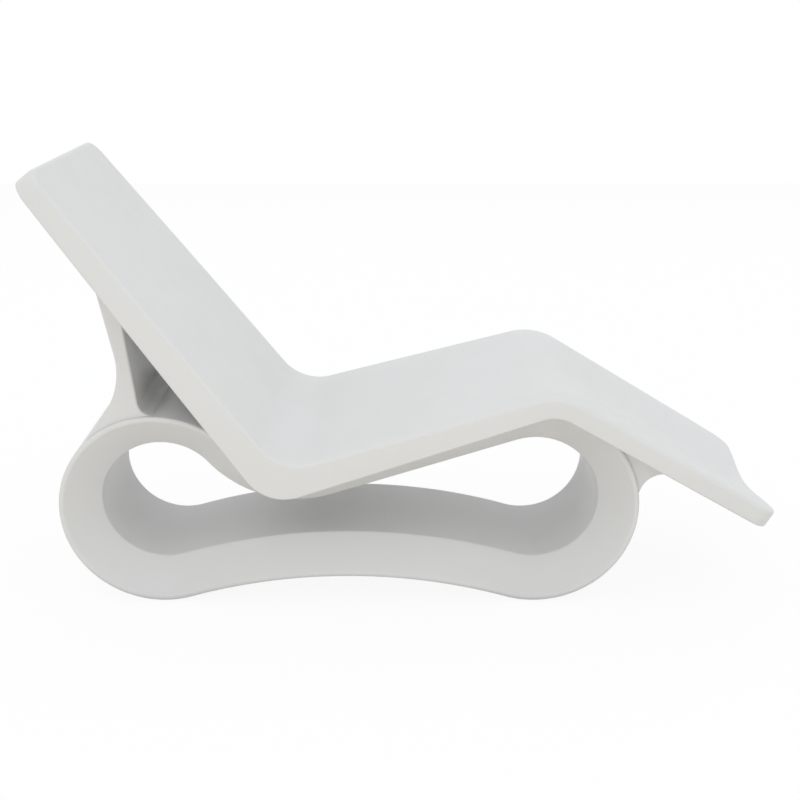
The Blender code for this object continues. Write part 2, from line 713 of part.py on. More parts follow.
def joints(side, looks):
    """All bolted joints, grouped by the pieces that they join."""
    head, foot, _, _ = loop_centres(side)
    seat_down, back_down = -square_to(side["seat"]), -square_to(side["back"])
    thick = LOOP_DEPTH - SPOT_DEPTH
    groups = {"seat": [], "strut": [], "back": [], "gusset": []}
    for share in SEAT_BOLT_SHARES:
        point = side["seat_start"] + (side["seat_end"] - side["seat_start"]) * share
        groups["seat"].extend((point, seat_down, sign * SEAT_BOLT_SPREAD, thick) for sign in (-1, 1))
    leave = leave_point(side, FOOT_LOBE_RADIUS + LOOP_DEPTH)
    strut_out, gusset_out = strut_bolt_axis(), direction(turn_of(leave - foot) - GUSSET_BOLT_FALL)
    strut_foot = head + strut_out * (HEAD_LOBE_RADIUS + LOOP_DEPTH + GAP)
    gusset_foot = foot + gusset_out * (FOOT_LOBE_RADIUS + LOOP_DEPTH + GAP)
    rear, window = strut_sides(side)
    strut_top = window[0] + (rear[-1] - window[0]) * BACK_BOLT_SHARE
    for sign in (-1, 1):
        groups["strut"].append((strut_foot, -strut_out, sign * STRUT_BOLT_SPREAD, thick))
        groups["back"].append((strut_top, back_down, sign * BACK_BOLT_SPREAD, BACK_BOLT_DEPTH))
        groups["gusset"].append((gusset_foot, -gusset_out, sign * GUSSET_BOLT_SPREAD, thick))
    made = {}
    for name, places in groups.items():
        length = GUSSET_INSERT_LENGTH if name == "gusset" else INSERT_LENGTH
        made[name] = []
        for number, (point, axis, across, depth) in enumerate(places, 1):
            origin = side_point(point, across)
            made[name].append(joint(name, number, origin, side_point(axis, 0), depth, length, looks))
    return made


def glide(number, x, y, looks):
    """A floor pad with its screw, and the cutters for its pocket in the loop."""
    hole = GLIDE_SCREW_RADIUS + GAP
    head = GLIDE_HEAD_RADIUS + GAP
    neck = GLIDE_SINK + GLIDE_HEAD_HEIGHT
    pad = turned([(head, 0), (head, GLIDE_SINK + GAP), (hole, neck + GAP), (hole, GLIDE_HEIGHT),
                  (GLIDE_RADIUS, GLIDE_HEIGHT), (GLIDE_RADIUS, GLIDE_EDGE),
                  (GLIDE_RADIUS - GLIDE_EDGE, 0)], PAD_PARTS)
    screw = turned([(0, GLIDE_SINK), (GLIDE_HEAD_RADIUS, GLIDE_SINK), (GLIDE_SCREW_RADIUS, neck),
                    (GLIDE_SCREW_RADIUS, GLIDE_SCREW_LENGTH), (0, GLIDE_SCREW_LENGTH + GLIDE_SCREW_RADIUS)],
                   PAD_PARTS)
    up = (0, 0, 1)
    solid(f"glide_{number}", *place(pad, (x, y, 0), up), looks["rubber"])
    solid(f"glide_screw_{number}", *place(screw, (x, y, 0), up), looks["steel"])
    tip = GLIDE_SCREW_LENGTH + GLIDE_SCREW_RADIUS + GAP
    wide, floor = GLIDE_RADIUS + GAP, GLIDE_HEIGHT + GAP
    pocket = turned([(0, -OVERRUN), (wide, -OVERRUN), (wide, floor), (hole, floor), (hole, tip), (0, tip)],
                    PAD_PARTS)
    post = rod((x, y, 0), up, -OVERRUN, GLIDE_POST_RISE, GLIDE_POST_RADIUS, PAD_PARTS)
    return place(pocket, (x, y, 0), up), post


def plug(name, origin, axis, looks):
    """A filling plug set flush in a moulding, and the cutters for its hole and its boss."""
    floor = -PLUG_CAP_HEIGHT
    shape = turned([(0, -PLUG_LENGTH), (PLUG_RADIUS, -PLUG_LENGTH), (PLUG_RADIUS, floor),
                    (PLUG_CAP_RADIUS, floor), (PLUG_CAP_RADIUS, -GAP), (PLUG_SLOT_RADIUS, -GAP),
                    (PLUG_SLOT_RADIUS, -PLUG_SLOT_DEPTH), (0, -PLUG_SLOT_DEPTH)], PAD_PARTS)
    solid(name, *place(shape, origin, axis), looks["plug"])
    bottom = -PLUG_LENGTH - WALL
    hole = turned([(0, bottom), (PLUG_RADIUS + GAP, bottom), (PLUG_RADIUS + GAP, floor - GAP),
                   (PLUG_CAP_RADIUS + GAP, floor - GAP), (PLUG_CAP_RADIUS + GAP, OVERRUN), (0, OVERRUN)],
                  PAD_PARTS)
    boss = rod(origin, axis, -PLUG_LENGTH + GAP, OVERRUN, PLUG_CAP_RADIUS + WALL, PAD_PARTS)
    return place(hole, origin, axis), boss


def hollow_out(item, name, hollow, posts, holes):
    """Hollow a body, leaving posts standing inside it, and cut its holes."""
    space = solid(f"{name}_space", *hollow)
    if posts:
        cut(space, solid(f"{name}_posts", *merge(posts)))
    cut(item, space)
    cut(item, solid(f"{name}_holes", *merge(holes)))


def build_loop(side, looks, made):
    """The loop, hollow, with its holes for bolts, floor pads and plug."""
    outer, inner, crest_point = loop_outlines(side)
    head, foot, crest, _ = loop_centres(side)
    pads = []
    for number, (centre, sign) in enumerate(((head, -1), (head, 1), (foot, -1), (foot, 1)), 1):
        pads.append(glide(number, centre[0], sign * GLIDE_SPREAD, looks))
    hole, boss = plug("loop_plug", side_point(crest_point, 0), side_point(unit(crest - crest_point), 0), looks)
    through = made["seat"] + made["strut"] + made["gusset"]
    loop = solid("base_loop", *loop_body(outer, inner, 0), looks["white"])
    hollow_out(loop, "loop", loop_body(outer, inner, WALL),
               [each["post"] for each in through] + [post for _, post in pads] + [boss],
               [each["hole"] for each in through] + [pocket for pocket, _ in pads] + [hole])
    return outer


def build_seat(side, looks, made):
    """The seat shell, hollow, with its pockets for inserts and its plug."""
    place_down_back = side["back_start"] + (side["back_end"] - side["back_start"]) * SEAT_PLUG_SHARE
    hole, boss = plug("seat_plug", side_point(place_down_back, 0),
                      side_point(-square_to(side["back"]), 0), looks)
    held = made["seat"] + made["back"]
    shell = solid("seat_shell", *slab(side, 0, EDGE_RADIUS, UNDER_EDGE_RADIUS, ACROSS_PARTS), looks["white"])
    hollow = slab(side, WALL, HOLLOW_EDGE_RADIUS, HOLLOW_EDGE_RADIUS, COARSE_ACROSS_PARTS)
    hollow_out(shell, "seat", hollow,
               [each["boss"] for each in held] + [boss], [each["pocket"] for each in held] + [hole])


def build_strut(side, looks, made, outer):
    """The strut, hollow, with its pockets, bolt holes and a vent into the joint below it."""
    out = strut_bolt_axis()
    foot = loop_centres(side)[0] + out * (HEAD_LOBE_RADIUS + LOOP_DEPTH)
    vent = rod(side_point(foot, 0), side_point(out, 0), -OVERRUN, VENT_LENGTH, VENT_RADIUS)
    strut = solid("back_strut", *prism(strut_outline(side, outer), STRUT_WIDTH), looks["white"])
    hollow_out(strut, "strut", prism(strut_hollow(side), STRUT_WIDTH - 2 * WALL),
               [each["boss"] for each in made["strut"]] + [each["post"] for each in made["back"]],
               [each["pocket"] for each in made["strut"]] + [each["hole"] for each in made["back"]] + [vent])


def build_gusset(side, looks, made, outer):
    """The gusset, a solid block with two pockets for inserts."""
    gusset = solid("foot_gusset", *prism(gusset_outline(side, outer), GUSSET_WIDTH), looks["white"])
    cut(gusset, solid("gusset_pockets", *merge([each["pocket"] for each in made["gusset"]])))


def main():
    """Build every piece of the lounger."""
    clear_scene()
    looks = {"white": finish("white_polyethylene", WHITE, 0.38, 0.0),
             "plug": finish("white_nylon", WHITE, 0.5, 0.0),
             "steel": finish("stainless_steel", STEEL, 0.32, 1.0),
             "brass": finish("turned_brass", BRASS, 0.35, 1.0),
             "rubber": finish("black_rubber", BLACK, 0.8, 0.0)}
    side = side_view()
    made = joints(side, looks)
    build_seat(side, looks, made)
    outer = build_loop(side, looks, made)
    build_strut(side, looks, made, outer)
    build_gusset(side, looks, made, outer)


main()
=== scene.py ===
"""Sun lounger: smooth moulded shells, fasteners and floor pads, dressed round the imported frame."""

import math

import bmesh
import bpy
import numpy as np
from bpy.props import FloatProperty, FloatVectorProperty, PointerProperty
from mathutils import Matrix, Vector


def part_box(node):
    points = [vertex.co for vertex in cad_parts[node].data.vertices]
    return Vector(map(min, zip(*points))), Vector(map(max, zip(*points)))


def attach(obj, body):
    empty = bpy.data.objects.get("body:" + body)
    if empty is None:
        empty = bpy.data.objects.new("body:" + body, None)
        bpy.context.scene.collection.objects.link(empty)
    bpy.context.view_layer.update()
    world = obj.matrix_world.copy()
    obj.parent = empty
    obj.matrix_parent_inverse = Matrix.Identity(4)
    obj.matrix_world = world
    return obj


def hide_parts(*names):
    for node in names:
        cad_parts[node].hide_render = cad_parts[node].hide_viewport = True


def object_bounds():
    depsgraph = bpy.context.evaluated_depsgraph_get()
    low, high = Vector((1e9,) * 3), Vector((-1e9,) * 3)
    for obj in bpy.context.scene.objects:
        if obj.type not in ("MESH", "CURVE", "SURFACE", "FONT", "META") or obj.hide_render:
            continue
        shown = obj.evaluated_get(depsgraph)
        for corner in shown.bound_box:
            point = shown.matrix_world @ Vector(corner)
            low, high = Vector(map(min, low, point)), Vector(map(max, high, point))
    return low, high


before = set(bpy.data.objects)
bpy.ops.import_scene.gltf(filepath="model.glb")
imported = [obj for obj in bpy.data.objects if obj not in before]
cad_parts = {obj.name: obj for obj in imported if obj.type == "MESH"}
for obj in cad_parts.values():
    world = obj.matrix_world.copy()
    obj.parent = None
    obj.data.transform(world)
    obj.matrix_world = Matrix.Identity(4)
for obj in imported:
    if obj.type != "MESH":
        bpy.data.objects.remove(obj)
CAD_BOX = [[float(value) for value in corner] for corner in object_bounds()]

bl_info = {
    "name": "Sun Lounger",
    "version": (1, 0, 0),
    "blender": (4, 5, 0),
    "location": "3D View > Sidebar > Sun Lounger",
    "description": "Builds a moulded sun lounger, piece by piece, round its packed frame",
    "category": "Object",
}


def length(label, text, default):
    """A size in metres that a user can change."""
    return FloatProperty(name=label, description=text, default=default, unit="LENGTH", precision=4)


def angle(label, text, degrees):
    """An angle that a user can change."""
    return FloatProperty(name=label, description=text, default=math.radians(degrees), subtype="ANGLE")


def share(label, text, default):
    """A share of another size."""
    return FloatProperty(name=label, description=text, default=default, subtype="FACTOR")


def power(label, text, default):
    """A power that says how late a size falls off."""
    return FloatProperty(name=label, description=text, default=default, subtype="NONE")


def colour(label, text, default):
    """A colour that a user can change."""
    return FloatVectorProperty(name=label, description=text, default=default, size=3, subtype="COLOR",
                               min=0.0, max=1.0)


class SeatSizes(bpy.types.PropertyGroup):
    """Sizes of the bent slab that carries the person."""
    back_run: length("Back run", "Length of the back, from the head end to the hip corner", 0.788)
    seat_run: length("Seat run", "Length of the seat, from the hip corner to the knee corner", 0.607)
    leg_run: length("Leg run", "Length of the leg rest, from the knee corner to the foot end", 0.583)
    back_lean: angle("Back lean", "Slope of the back from level", 52.15)
    seat_rise: angle("Seat rise", "Slope of the seat toward the knees", 15.38)
    leg_fall: angle("Leg fall", "Slope of the leg rest toward the feet", 30.65)
    hip_radius: length("Hip radius", "Bend of the upper surface at the hip", 0.111)
    knee_radius: length("Knee radius", "Bend of the upper surface at the knee", 0.142)
    under_hip_radius: length("Under hip radius", "Bend of the underside at the hip", 0.100)
    under_knee_radius: length("Under knee radius", "Bend of the underside at the knee", 0.080)
    head_depth: length("Head depth", "Thickness at the head end", 0.0489)
    back_depth: length("Back depth", "Thickness of the back at the hip", 0.0737)
    seat_depth: length("Seat depth", "Thickness of the seat at the hip", 0.0683)
    knee_depth: length("Knee depth", "Thickness of the seat at the knee", 0.0456)
    leg_depth: length("Leg depth", "Thickness of the leg rest at the knee", 0.0440)
    foot_depth: length("Foot depth", "Thickness at the foot end", 0.0440)
    hip_width: length("Hip width", "Width at the hip, the widest place", 0.618)
    head_width_share: share("Head width share", "Width at the head end, of the hip width", 0.84)
    foot_width_share: share("Foot width share", "Width at the foot end, of the hip width", 0.76)
    head_taper_power: power("Head taper power", "How late the slab narrows toward the head end", 1.35)
    foot_taper_power: power("Foot taper power", "How late the slab narrows toward the foot end", 1.1)
    head_corner: length("Head corner", "Radius of the head end's corners in plan", 0.040)
    foot_corner: length("Foot corner", "Radius of the foot end's corners in plan", 0.050)
    edge_radius: length("Edge radius", "Rounding of the upper edges", 0.009)
    under_edge_radius: length("Under edge radius", "Rounding of the lower edges", 0.005)
    hip_dish: length("Hip dish", "How far the upper surface is dished at the hip", 0.004)
    foot_dish: length("Foot dish", "How far the upper surface is dished at the foot end", 0.021)


class LoopSizes(bpy.types.PropertyGroup):
    """Sizes of the closed loop that stands on the floor."""
    depth: length("Depth", "Depth of the loop from its outer to its inner side", 0.083)
    head_lobe_radius: length("Head lobe radius", "Inner radius of the lobe under the back", 0.1385)
    foot_lobe_radius: length("Foot lobe radius", "Inner radius of the lobe under the knees", 0.1445)
    foot_lobe_advance: length("Foot lobe advance", "Place of the foot lobe's centre along the floor", 0.2735)
    knee_bite: length("Knee bite", "How far the slab's knee is set into the foot lobe", 0.0053)
    head_lobe_clearance: length("Head lobe clearance", "Space between the head lobe and the back", 0.0150)
    crest_radius: length("Crest radius", "Radius of the low crest between the lobes", 1.35)
    ceiling_bend_radius: length("Ceiling bend radius", "Radius of the bend under the hip", 0.26)
    landing_fall: angle("Landing fall", "Slope of the short run from the head lobe to the back", 30.0)
    width: length("Width", "Width of the loop at its outer rim", 0.412)
    throat_width: length("Throat width", "Width of the loop at its inner side", 0.280)
    rim_radius: length("Rim radius", "Softness of the outer rim", 0.006)
    rim_land: length("Rim land", "Width of the upright band along the rim", 0.010)
    rim_shoulder: length("Rim shoulder", "Softness where the slanting side meets the band", 0.0035)
    throat_radius: length("Throat radius", "Softness of the inner edge", 0.004)
    stand: length("Stand", "Height that the floor pads hold the loop at", 0.003)
    gap: length("Gap", "Space between pieces that touch", 0.0003)


class StrutSizes(bpy.types.PropertyGroup):
    """Sizes of the strut between the loop and the back, and of its window."""
    width: length("Width", "Width of the strut", 0.394)
    rear_turn: angle("Rear turn", "Turn from the head lobe's top to the rear side's foot", 43.5)
    rear_rise: angle("Rear rise", "Slope of the rear side at its foot", 54.0)
    rear_lean: angle("Rear lean", "Lean of the rear side from upright at its top", 11.2)
    rear_run: length("Rear run", "Length of the rear side below its bend", 0.156)
    rear_radius: length("Rear radius", "Radius of the bend in the rear side", 0.17)
    window_turn: angle("Window turn", "Turn from the head lobe's top to the window side's foot", -0.4)
    window_lean: angle("Window lean", "Lean of the window side from upright", 6.5)
    window_radius: length("Window radius", "Rounding of the window's lower corner", 0.03)
    crown_radius: length("Crown radius", "Rounding of the window's top corner", 0.004)
    blunt: length("Blunt", "Height at which the thin tips of the strut start", 0.0003)
    edge_radius: length("Edge radius", "Rounding of the strut's edges", 0.005)
    sink: length("Sink", "How far the strut's ends reach into its neighbours", 0.004)
    bow_reach: length("Bow reach", "Height over which the foot's hollow under side runs out", 0.05)


class GussetSizes(bpy.types.PropertyGroup):
    """Sizes of the gusset under the leg rest."""
    width: length("Width", "Width of the gusset", 0.392)
    fillet: length("Fillet", "Radius of the hollow side", 0.054)
    blunt: length("Blunt", "Height at which the thin tips of the gusset start", 0.0025)
    sink: length("Sink", "How far the gusset reaches into its neighbours", 0.004)
    edge_radius: length("Edge radius", "Rounding of the gusset's edges", 0.005)


class FastenerSizes(bpy.types.PropertyGroup):
    """Sizes of the bolts and of the recesses that they sit in."""
    bolt_radius: length("Bolt radius", "Radius of the shank", 0.004)
    flange_radius: length("Flange radius", "Radius of the flange under the head", 0.010)
    flange_height: length("Flange height", "Thickness of the flange", 0.0016)
    head_radius: length("Head radius", "Radius of the head", 0.0068)
    head_height: length("Head height", "Height of the head over the seat of the flange", 0.0056)
    socket_radius: length("Socket radius", "Corner radius of the hexagon socket", 0.0029)
    socket_depth: length("Socket depth", "Depth of the hexagon socket", 0.003)
    hole_radius: length("Hole radius", "Radius of the hole round the sleeve", 0.0063)
    hole_depth: length("Hole depth", "Depth of the hole below the recess, as far as it shows", 0.004)
    spot_radius: length("Recess radius", "Radius of the round recess for the head", 0.0125)
    spot_depth: length("Recess depth", "Depth of the recess below the loop's inner side", 0.007)
    lip: length("Lip", "Rounding of small edges on the fasteners", 0.0007)
    seat_spread: length("Seat bolt spread", "Distance of the seat bolts from the middle", 0.085)
    seat_share_head: share("Seat bolt share, head", "Place of the rear seat bolts along the seat", 0.30)
    seat_share_foot: share("Seat bolt share, foot", "Place of the front seat bolts along the seat", 0.86)
    strut_spread: length("Strut bolt spread", "Distance of the strut bolts from the middle", 0.110)
    strut_share: share("Strut bolt share", "Place of the strut bolts across the strut's foot", 0.51)
    back_spread: length("Back bolt spread", "Distance of the back bolts from the middle", 0.120)
    back_share: share("Back bolt share", "Place of the back bolts along the strut's top", 0.62)
    back_depth: length("Back bolt depth", "Strut's thickness under the back bolts", 0.020)
    gusset_spread: length("Gusset bolt spread", "Distance of the gusset bolts from the middle", 0.090)
    gusset_fall: angle("Gusset bolt fall", "Turn from the slab's underside down to the gusset bolts", 16.2)
    seat_grip: length("Grip", "Length of bolt inside an insert, but for the gusset's", 0.016)
    gusset_grip: length("Gusset grip", "Length of bolt inside a gusset insert", 0.0112)


class PadSizes(bpy.types.PropertyGroup):
    """Sizes of the floor pads and the filling plugs."""
    radius: length("Radius", "Radius of a floor pad", 0.022)
    height: length("Height", "Height of a floor pad", 0.009)
    edge: length("Edge", "Rounding of the pad's lower edge", 0.002)
    spread: length("Spread", "Distance of the pads from the middle", 0.145)
    screw_radius: length("Screw radius", "Radius of the pad's screw", 0.0022)
    screw_length: length("Screw length", "Length of the pad's screw", 0.016)
    screw_head_radius: length("Screw head radius", "Radius of the screw's countersunk head", 0.0046)
    screw_head_height: length("Screw head height", "Height of the countersunk head", 0.0022)
    screw_sink: length("Screw sink", "Depth of the screw head in the pad", 0.0015)
    groove: length("Groove", "Depth of the pad's grip grooves", 0.0006)
    plug_radius: length("Plug radius", "Radius of a plug's body", 0.015)
    plug_length: length("Plug length", "Length of a plug", 0.013)
    plug_cap_radius: length("Plug cap radius", "Radius of a plug's cap", 0.021)
    plug_cap_height: length("Plug cap height", "Thickness of a plug's cap", 0.003)
    plug_key_radius: length("Plug key radius", "Corner radius of the plug's hexagon key hole", 0.006)
    plug_key_depth: length("Plug key depth", "Depth of the plug's key hole", 0.0016)
    seat_plug_share: share("Seat plug share", "Place of the seat plug along the back", 0.62)


class Finishes(bpy.types.PropertyGroup):
    """Colours of the lounger's finishes and of its stage."""
    shell: colour("Shell", "Satin white of the moulded shells", (0.725, 0.728, 0.715))
    plug: colour("Plug", "White of the moulded plugs", (0.70, 0.70, 0.685))
    steel: colour("Steel", "Stainless steel of the fasteners", (0.56, 0.57, 0.58))
    brass: colour("Brass", "Turned brass of the inserts", (0.72, 0.53, 0.25))
    rubber: colour("Rubber", "Black rubber of the floor pads", (0.025, 0.025, 0.027))
    floor: colour("Floor", "Pale floor in front, as the lounger sees it", (0.87, 0.83, 0.765))
    rear_floor: colour("Rear floor", "Floor below and behind, as the lounger sees it", (0.45, 0.45, 0.45))
    wall: colour("Wall", "Backdrop behind the lounger, as the lounger sees it", (0.25, 0.25, 0.25))


HALF = 0.5

# Steps that each kind of line is divided into
LINE_PARTS = 48
ARC_PARTS = 36
CORNER_PARTS = 14
EDGE_PARTS = 9
ACROSS_PARTS = 28
LOBE_PARTS = 190
CREST_PARTS = 110
LANDING_PARTS = 10
RIM_PARTS = 9
FLANK_PARTS = 24
FLAT_PARTS = 10
ROUND_PARTS = 72
LIP_PARTS = 3
PAD_EDGE_PARTS = 6

# How far the slab's rows crowd toward its edges, where 1 crowds them most
CROWDING_SHARE = 0.9

# Grip rings under a floor pad
TREAD_RINGS = 3

# Points closer than this are one point, and a crease sharper than this stays sharp
WELD = 0.000004
SHARP_TURN = math.radians(32.0)


def heading(turn):
    """Unit vector of the side view: cosine and sine of its angle from +X toward +Z."""
    return np.array([math.cos(turn), math.sin(turn)])


def left_of(vector):
    """The vector turned a quarter to its left: (x, z) becomes (-z, x)."""
    return np.array([-vector[1], vector[0]])


def unit(vector):
    """The vector divided by its own length, along the last axis."""
    return vector / np.linalg.norm(vector, axis=-1, keepdims=True)


def turn_of(vector):
    """Angle of a vector of the side view."""
    return math.atan2(vector[1], vector[0])


def lines_cross(point, along, other, other_along):
    """Where two lines of the side view cross: the solution of p + a t = q + b s."""
    steps = np.linalg.solve(np.column_stack([along, -other_along]), other - point)
    return point + along * steps[0]


def circle_crossing(point, along, centre, radius, sign):
    """Where a line crosses a circle: the root of |p + a t - c| = r, first for sign -1, second for 1."""
    offset = point - centre
    lead = offset @ along
    return point + along * (sign * math.sqrt(lead * lead - offset @ offset + radius * radius) - lead)


def arc(centre, radius, start, end, parts):
    """Points centre + radius (cos a, sin a), with the angle a in equal steps from start to end."""
    turns = np.linspace(start, end, parts + 1)
    return centre + radius * np.column_stack([np.cos(turns), np.sin(turns)])


def run(start, end, parts):
    """Points start + t (end - start), with t in equal steps from 0 to 1."""
    return start + np.linspace(0, 1, parts + 1)[:, None] * (end - start)


def corner_arc(corner, inward, outward, radius, parts):
    """The arc of one radius that touches both lines of a corner."""
    turn = math.atan2(inward[0] * outward[1] - inward[1] * outward[0], inward @ outward)
    touch = corner - inward * radius * math.tan(abs(turn) * HALF)
    centre = touch + left_of(inward) * radius * math.copysign(1, turn)
    start = turn_of(touch - centre)
    return arc(centre, radius, start, start + turn, parts)


def bent_line(corners, headings, radii):
    """Straight run, arc, straight run, arc, straight run: a line with two rounded corners."""
    start, hip, knee, end = corners
    hip_arc = corner_arc(hip, headings[0], headings[1], radii[0], ARC_PARTS)
    knee_arc = corner_arc(knee, headings[1], headings[2], radii[1], ARC_PARTS)
    return np.vstack([run(start, hip_arc[0], LINE_PARTS)[:-1], hip_arc,
                      run(hip_arc[-1], knee_arc[0], LINE_PARTS)[1:-1], knee_arc,
                      run(knee_arc[-1], end, LINE_PARTS)[1:]])


def foot_lobe_centre(loop):
    """Centre of the lobe under the knees, which stands on the floor pads."""
    return np.array([loop.foot_lobe_advance, loop.stand + loop.depth + loop.foot_lobe_radius])


def side_lines(seat, loop):
    """The slab's upper line and underside in the side view, laid with the knee on the foot lobe.

    The foot lobe's centre lies at one distance from both undersides that meet at the knee: its
    outer radius less the bite.
    """
    back, level, leg = heading(-seat.back_lean), heading(seat.seat_rise), heading(-seat.leg_fall)
    hip = np.zeros(2)
    knee = hip + level * seat.seat_run
    head = hip - back * seat.back_run
    foot = knee + leg * seat.leg_run
    low = []
    for start, end, along, first, last in ((head, hip, back, seat.head_depth, seat.back_depth),
                                           (hip, knee, level, seat.seat_depth, seat.knee_depth),
                                           (knee, foot, leg, seat.leg_depth, seat.foot_depth)):
        low_start = start - left_of(along) * first
        low_end = end - left_of(along) * last
        low.append((low_start, low_end, unit(low_end - low_start)))
    headings = [each[2] for each in low]
    under_hip = lines_cross(low[0][0], headings[0], low[1][0], headings[1])
    under_knee = lines_cross(low[1][0], headings[1], low[2][0], headings[2])
    reach = loop.foot_lobe_radius + loop.depth - loop.knee_bite
    lift = foot_lobe_centre(loop) - lines_cross(low[1][0] - left_of(headings[1]) * reach, headings[1],
                                                low[2][0] - left_of(headings[2]) * reach, headings[2])
    upper = lift + bent_line((head, hip, knee, foot), (back, level, leg),
                             (seat.hip_radius, seat.knee_radius))
    under = lift + bent_line((low[0][0], under_hip, under_knee, low[2][1]), headings,
                             (seat.under_hip_radius, seat.under_knee_radius))
    hip_end = LINE_PARTS + ARC_PARTS
    return {"upper": upper, "under": under, "back": headings[0], "seat": headings[1], "leg": headings[2],
            "back_start": under[0], "back_end": under[LINE_PARTS], "seat_start": under[hip_end],
            "seat_end": under[hip_end + LINE_PARTS], "leg_end": under[-1]}


def loop_centres(loop, side):
    """Centres of the head lobe, the foot lobe, the crest below them and the bend above them."""
    foot = foot_lobe_centre(loop)
    reach = loop.head_lobe_radius + loop.depth + loop.head_lobe_clearance
    head = lines_cross(side["back_start"] - left_of(side["back"]) * reach, side["back"],
                       np.array([0, loop.stand + loop.depth + loop.head_lobe_radius]), heading(0))
    apart = np.linalg.norm(foot - head)
    head_reach = loop.crest_radius + loop.head_lobe_radius
    foot_reach = loop.crest_radius + loop.foot_lobe_radius
    lead = (head_reach ** 2 - foot_reach ** 2 + apart ** 2) / (2 * apart)
    along = unit(foot - head)
    crest = head + along * lead - left_of(along) * math.sqrt(head_reach ** 2 - lead ** 2)
    lifted = foot + left_of(side["seat"]) * (loop.foot_lobe_radius + loop.ceiling_bend_radius)
    bend_reach = loop.head_lobe_radius + loop.ceiling_bend_radius
    bend = circle_crossing(lifted, -side["seat"], head, bend_reach, -1)
    return head, foot, crest, bend


def nearest_throat(points, loop, side):
    """For each point above the loop's inner side, the nearest point of that side.

    The inner side is three circles and a line that touch each other. On a circle the nearest
    point is centre + radius (p - centre) / |p - centre|, and on the line it is the foot of the
    square from p. The stretch that p belongs to follows from where p lies along the seat.
    """
    head, foot, _, bend = loop_centres(loop, side)
    ceiling = foot + left_of(side["seat"]) * loop.foot_lobe_radius
    along = (points - ceiling) @ side["seat"]
    on_line = ceiling + along[:, None] * side["seat"]
    on_foot = foot + unit(points - foot) * loop.foot_lobe_radius
    on_bend = bend + unit(points - bend) * loop.ceiling_bend_radius
    on_head = head + unit(points - head) * loop.head_lobe_radius
    bend_start = (bend - ceiling) @ side["seat"]
    turn = bend - head
    past_head = turn[0] * (points - head)[:, 1] - turn[1] * (points - head)[:, 0] > 0
    place = np.where((along < 0)[:, None], on_line, on_foot)
    place = np.where((along < bend_start)[:, None], on_bend, place)
    return np.where((past_head & (along < bend_start))[:, None], on_head, place)


def loop_outlines(loop, side):
    """Matching points of the loop's outer and inner sides, all the way round."""
    head, foot, crest, _ = loop_centres(loop, side)
    head_reach, foot_reach = loop.head_lobe_radius + loop.depth, loop.foot_lobe_radius + loop.depth
    at_foot, at_head = turn_of(crest - foot), turn_of(crest - head)
    leave = circle_crossing(side["leg_end"], -side["leg"], foot, foot_reach, -1)
    leave_turn = turn_of(leave - foot)
    top_turn = math.pi * HALF - loop.landing_fall - math.tau
    outer, inner = [], []
    for centre, far, near, start, end, parts in (
            (foot, foot_reach, loop.foot_lobe_radius, leave_turn, at_foot, LOBE_PARTS),
            (crest, loop.crest_radius - loop.depth, loop.crest_radius, at_foot + math.pi,
             at_head + math.pi, CREST_PARTS),
            (head, head_reach, loop.head_lobe_radius, at_head, top_turn, LOBE_PARTS)):
        outer.append(arc(centre, far, start, end, parts)[1:])
        inner.append(arc(centre, near, start, end, parts)[1:])
    landing = lines_cross(outer[-1][-1], heading(-loop.landing_fall), side["back_start"], side["back"])
    under = side["under"]
    touching = under[(under[:, 0] > landing[0]) & (under[:, 0] < leave[0])]
    seam = np.vstack([landing, touching, leave])
    steps = unit(np.gradient(seam, axis=0))
    seam = seam + np.column_stack([steps[:, 1], -steps[:, 0]]) * loop.gap
    top = np.vstack([run(outer[-1][-1], seam[0], LANDING_PARTS)[1:-1], seam])
    outer.append(top)
    inner.append(nearest_throat(top, loop, side))
    return np.vstack(outer), np.vstack(inner)


def eased(corner, toward, away, size, parts):
    """Soft corner: the curve (1-t)^2 a + 2t(1-t) c + t^2 b, from a to b, which lie size from corner c."""
    t = np.linspace(0, 1, parts + 1)[:, None]
    start, end = corner + toward * size, corner + away * size
    return (1 - t) ** 2 * start + 2 * t * (1 - t) * corner + t ** 2 * end


def quads(rows, columns, wrap_rows=False, wrap_columns=False):
    """Corner indices of the cells of a grid that is stored row by row."""
    row = np.arange(rows if wrap_rows else rows - 1)[:, None]
    column = np.arange(columns if wrap_columns else columns - 1)[None, :]
    after, below = (column + 1) % columns, (row + 1) % rows
    corners = (row * columns + column, row * columns + after,
               below * columns + after, below * columns + column)
    return np.stack(np.broadcast_arrays(*corners), axis=-1).reshape(-1, 4)


def join(parts):
    """Stack several (points, cells) surfaces into one, moving each one's indices up."""
    points, cells, start = [], [], 0
    for part_points, part_cells in parts:
        points.append(part_points)
        cells.append(part_cells + start)
        start += len(part_points)
    return np.vstack(points), np.vstack(cells)


def make_piece(name, shape):
    """Put a surface into a mesh, weld its seams and poles, turn it outward and smooth it."""
    points, cells = shape
    mesh = bpy.data.meshes.new(name)
    mesh.from_pydata(points.tolist(), [], cells.tolist())
    shaped = bmesh.new()
    shaped.from_mesh(mesh)
    bmesh.ops.remove_doubles(shaped, verts=shaped.verts, dist=WELD)
    bmesh.ops.dissolve_degenerate(shaped, edges=shaped.edges, dist=WELD)
    bmesh.ops.recalc_face_normals(shaped, faces=shaped.faces)
    shaped.to_mesh(mesh)
    shaped.free()
    mesh.shade_smooth()
    mesh.set_sharp_from_angle(angle=SHARP_TURN)
    piece = bpy.data.objects.new(name, mesh)
    bpy.context.scene.collection.objects.link(piece)
    return piece


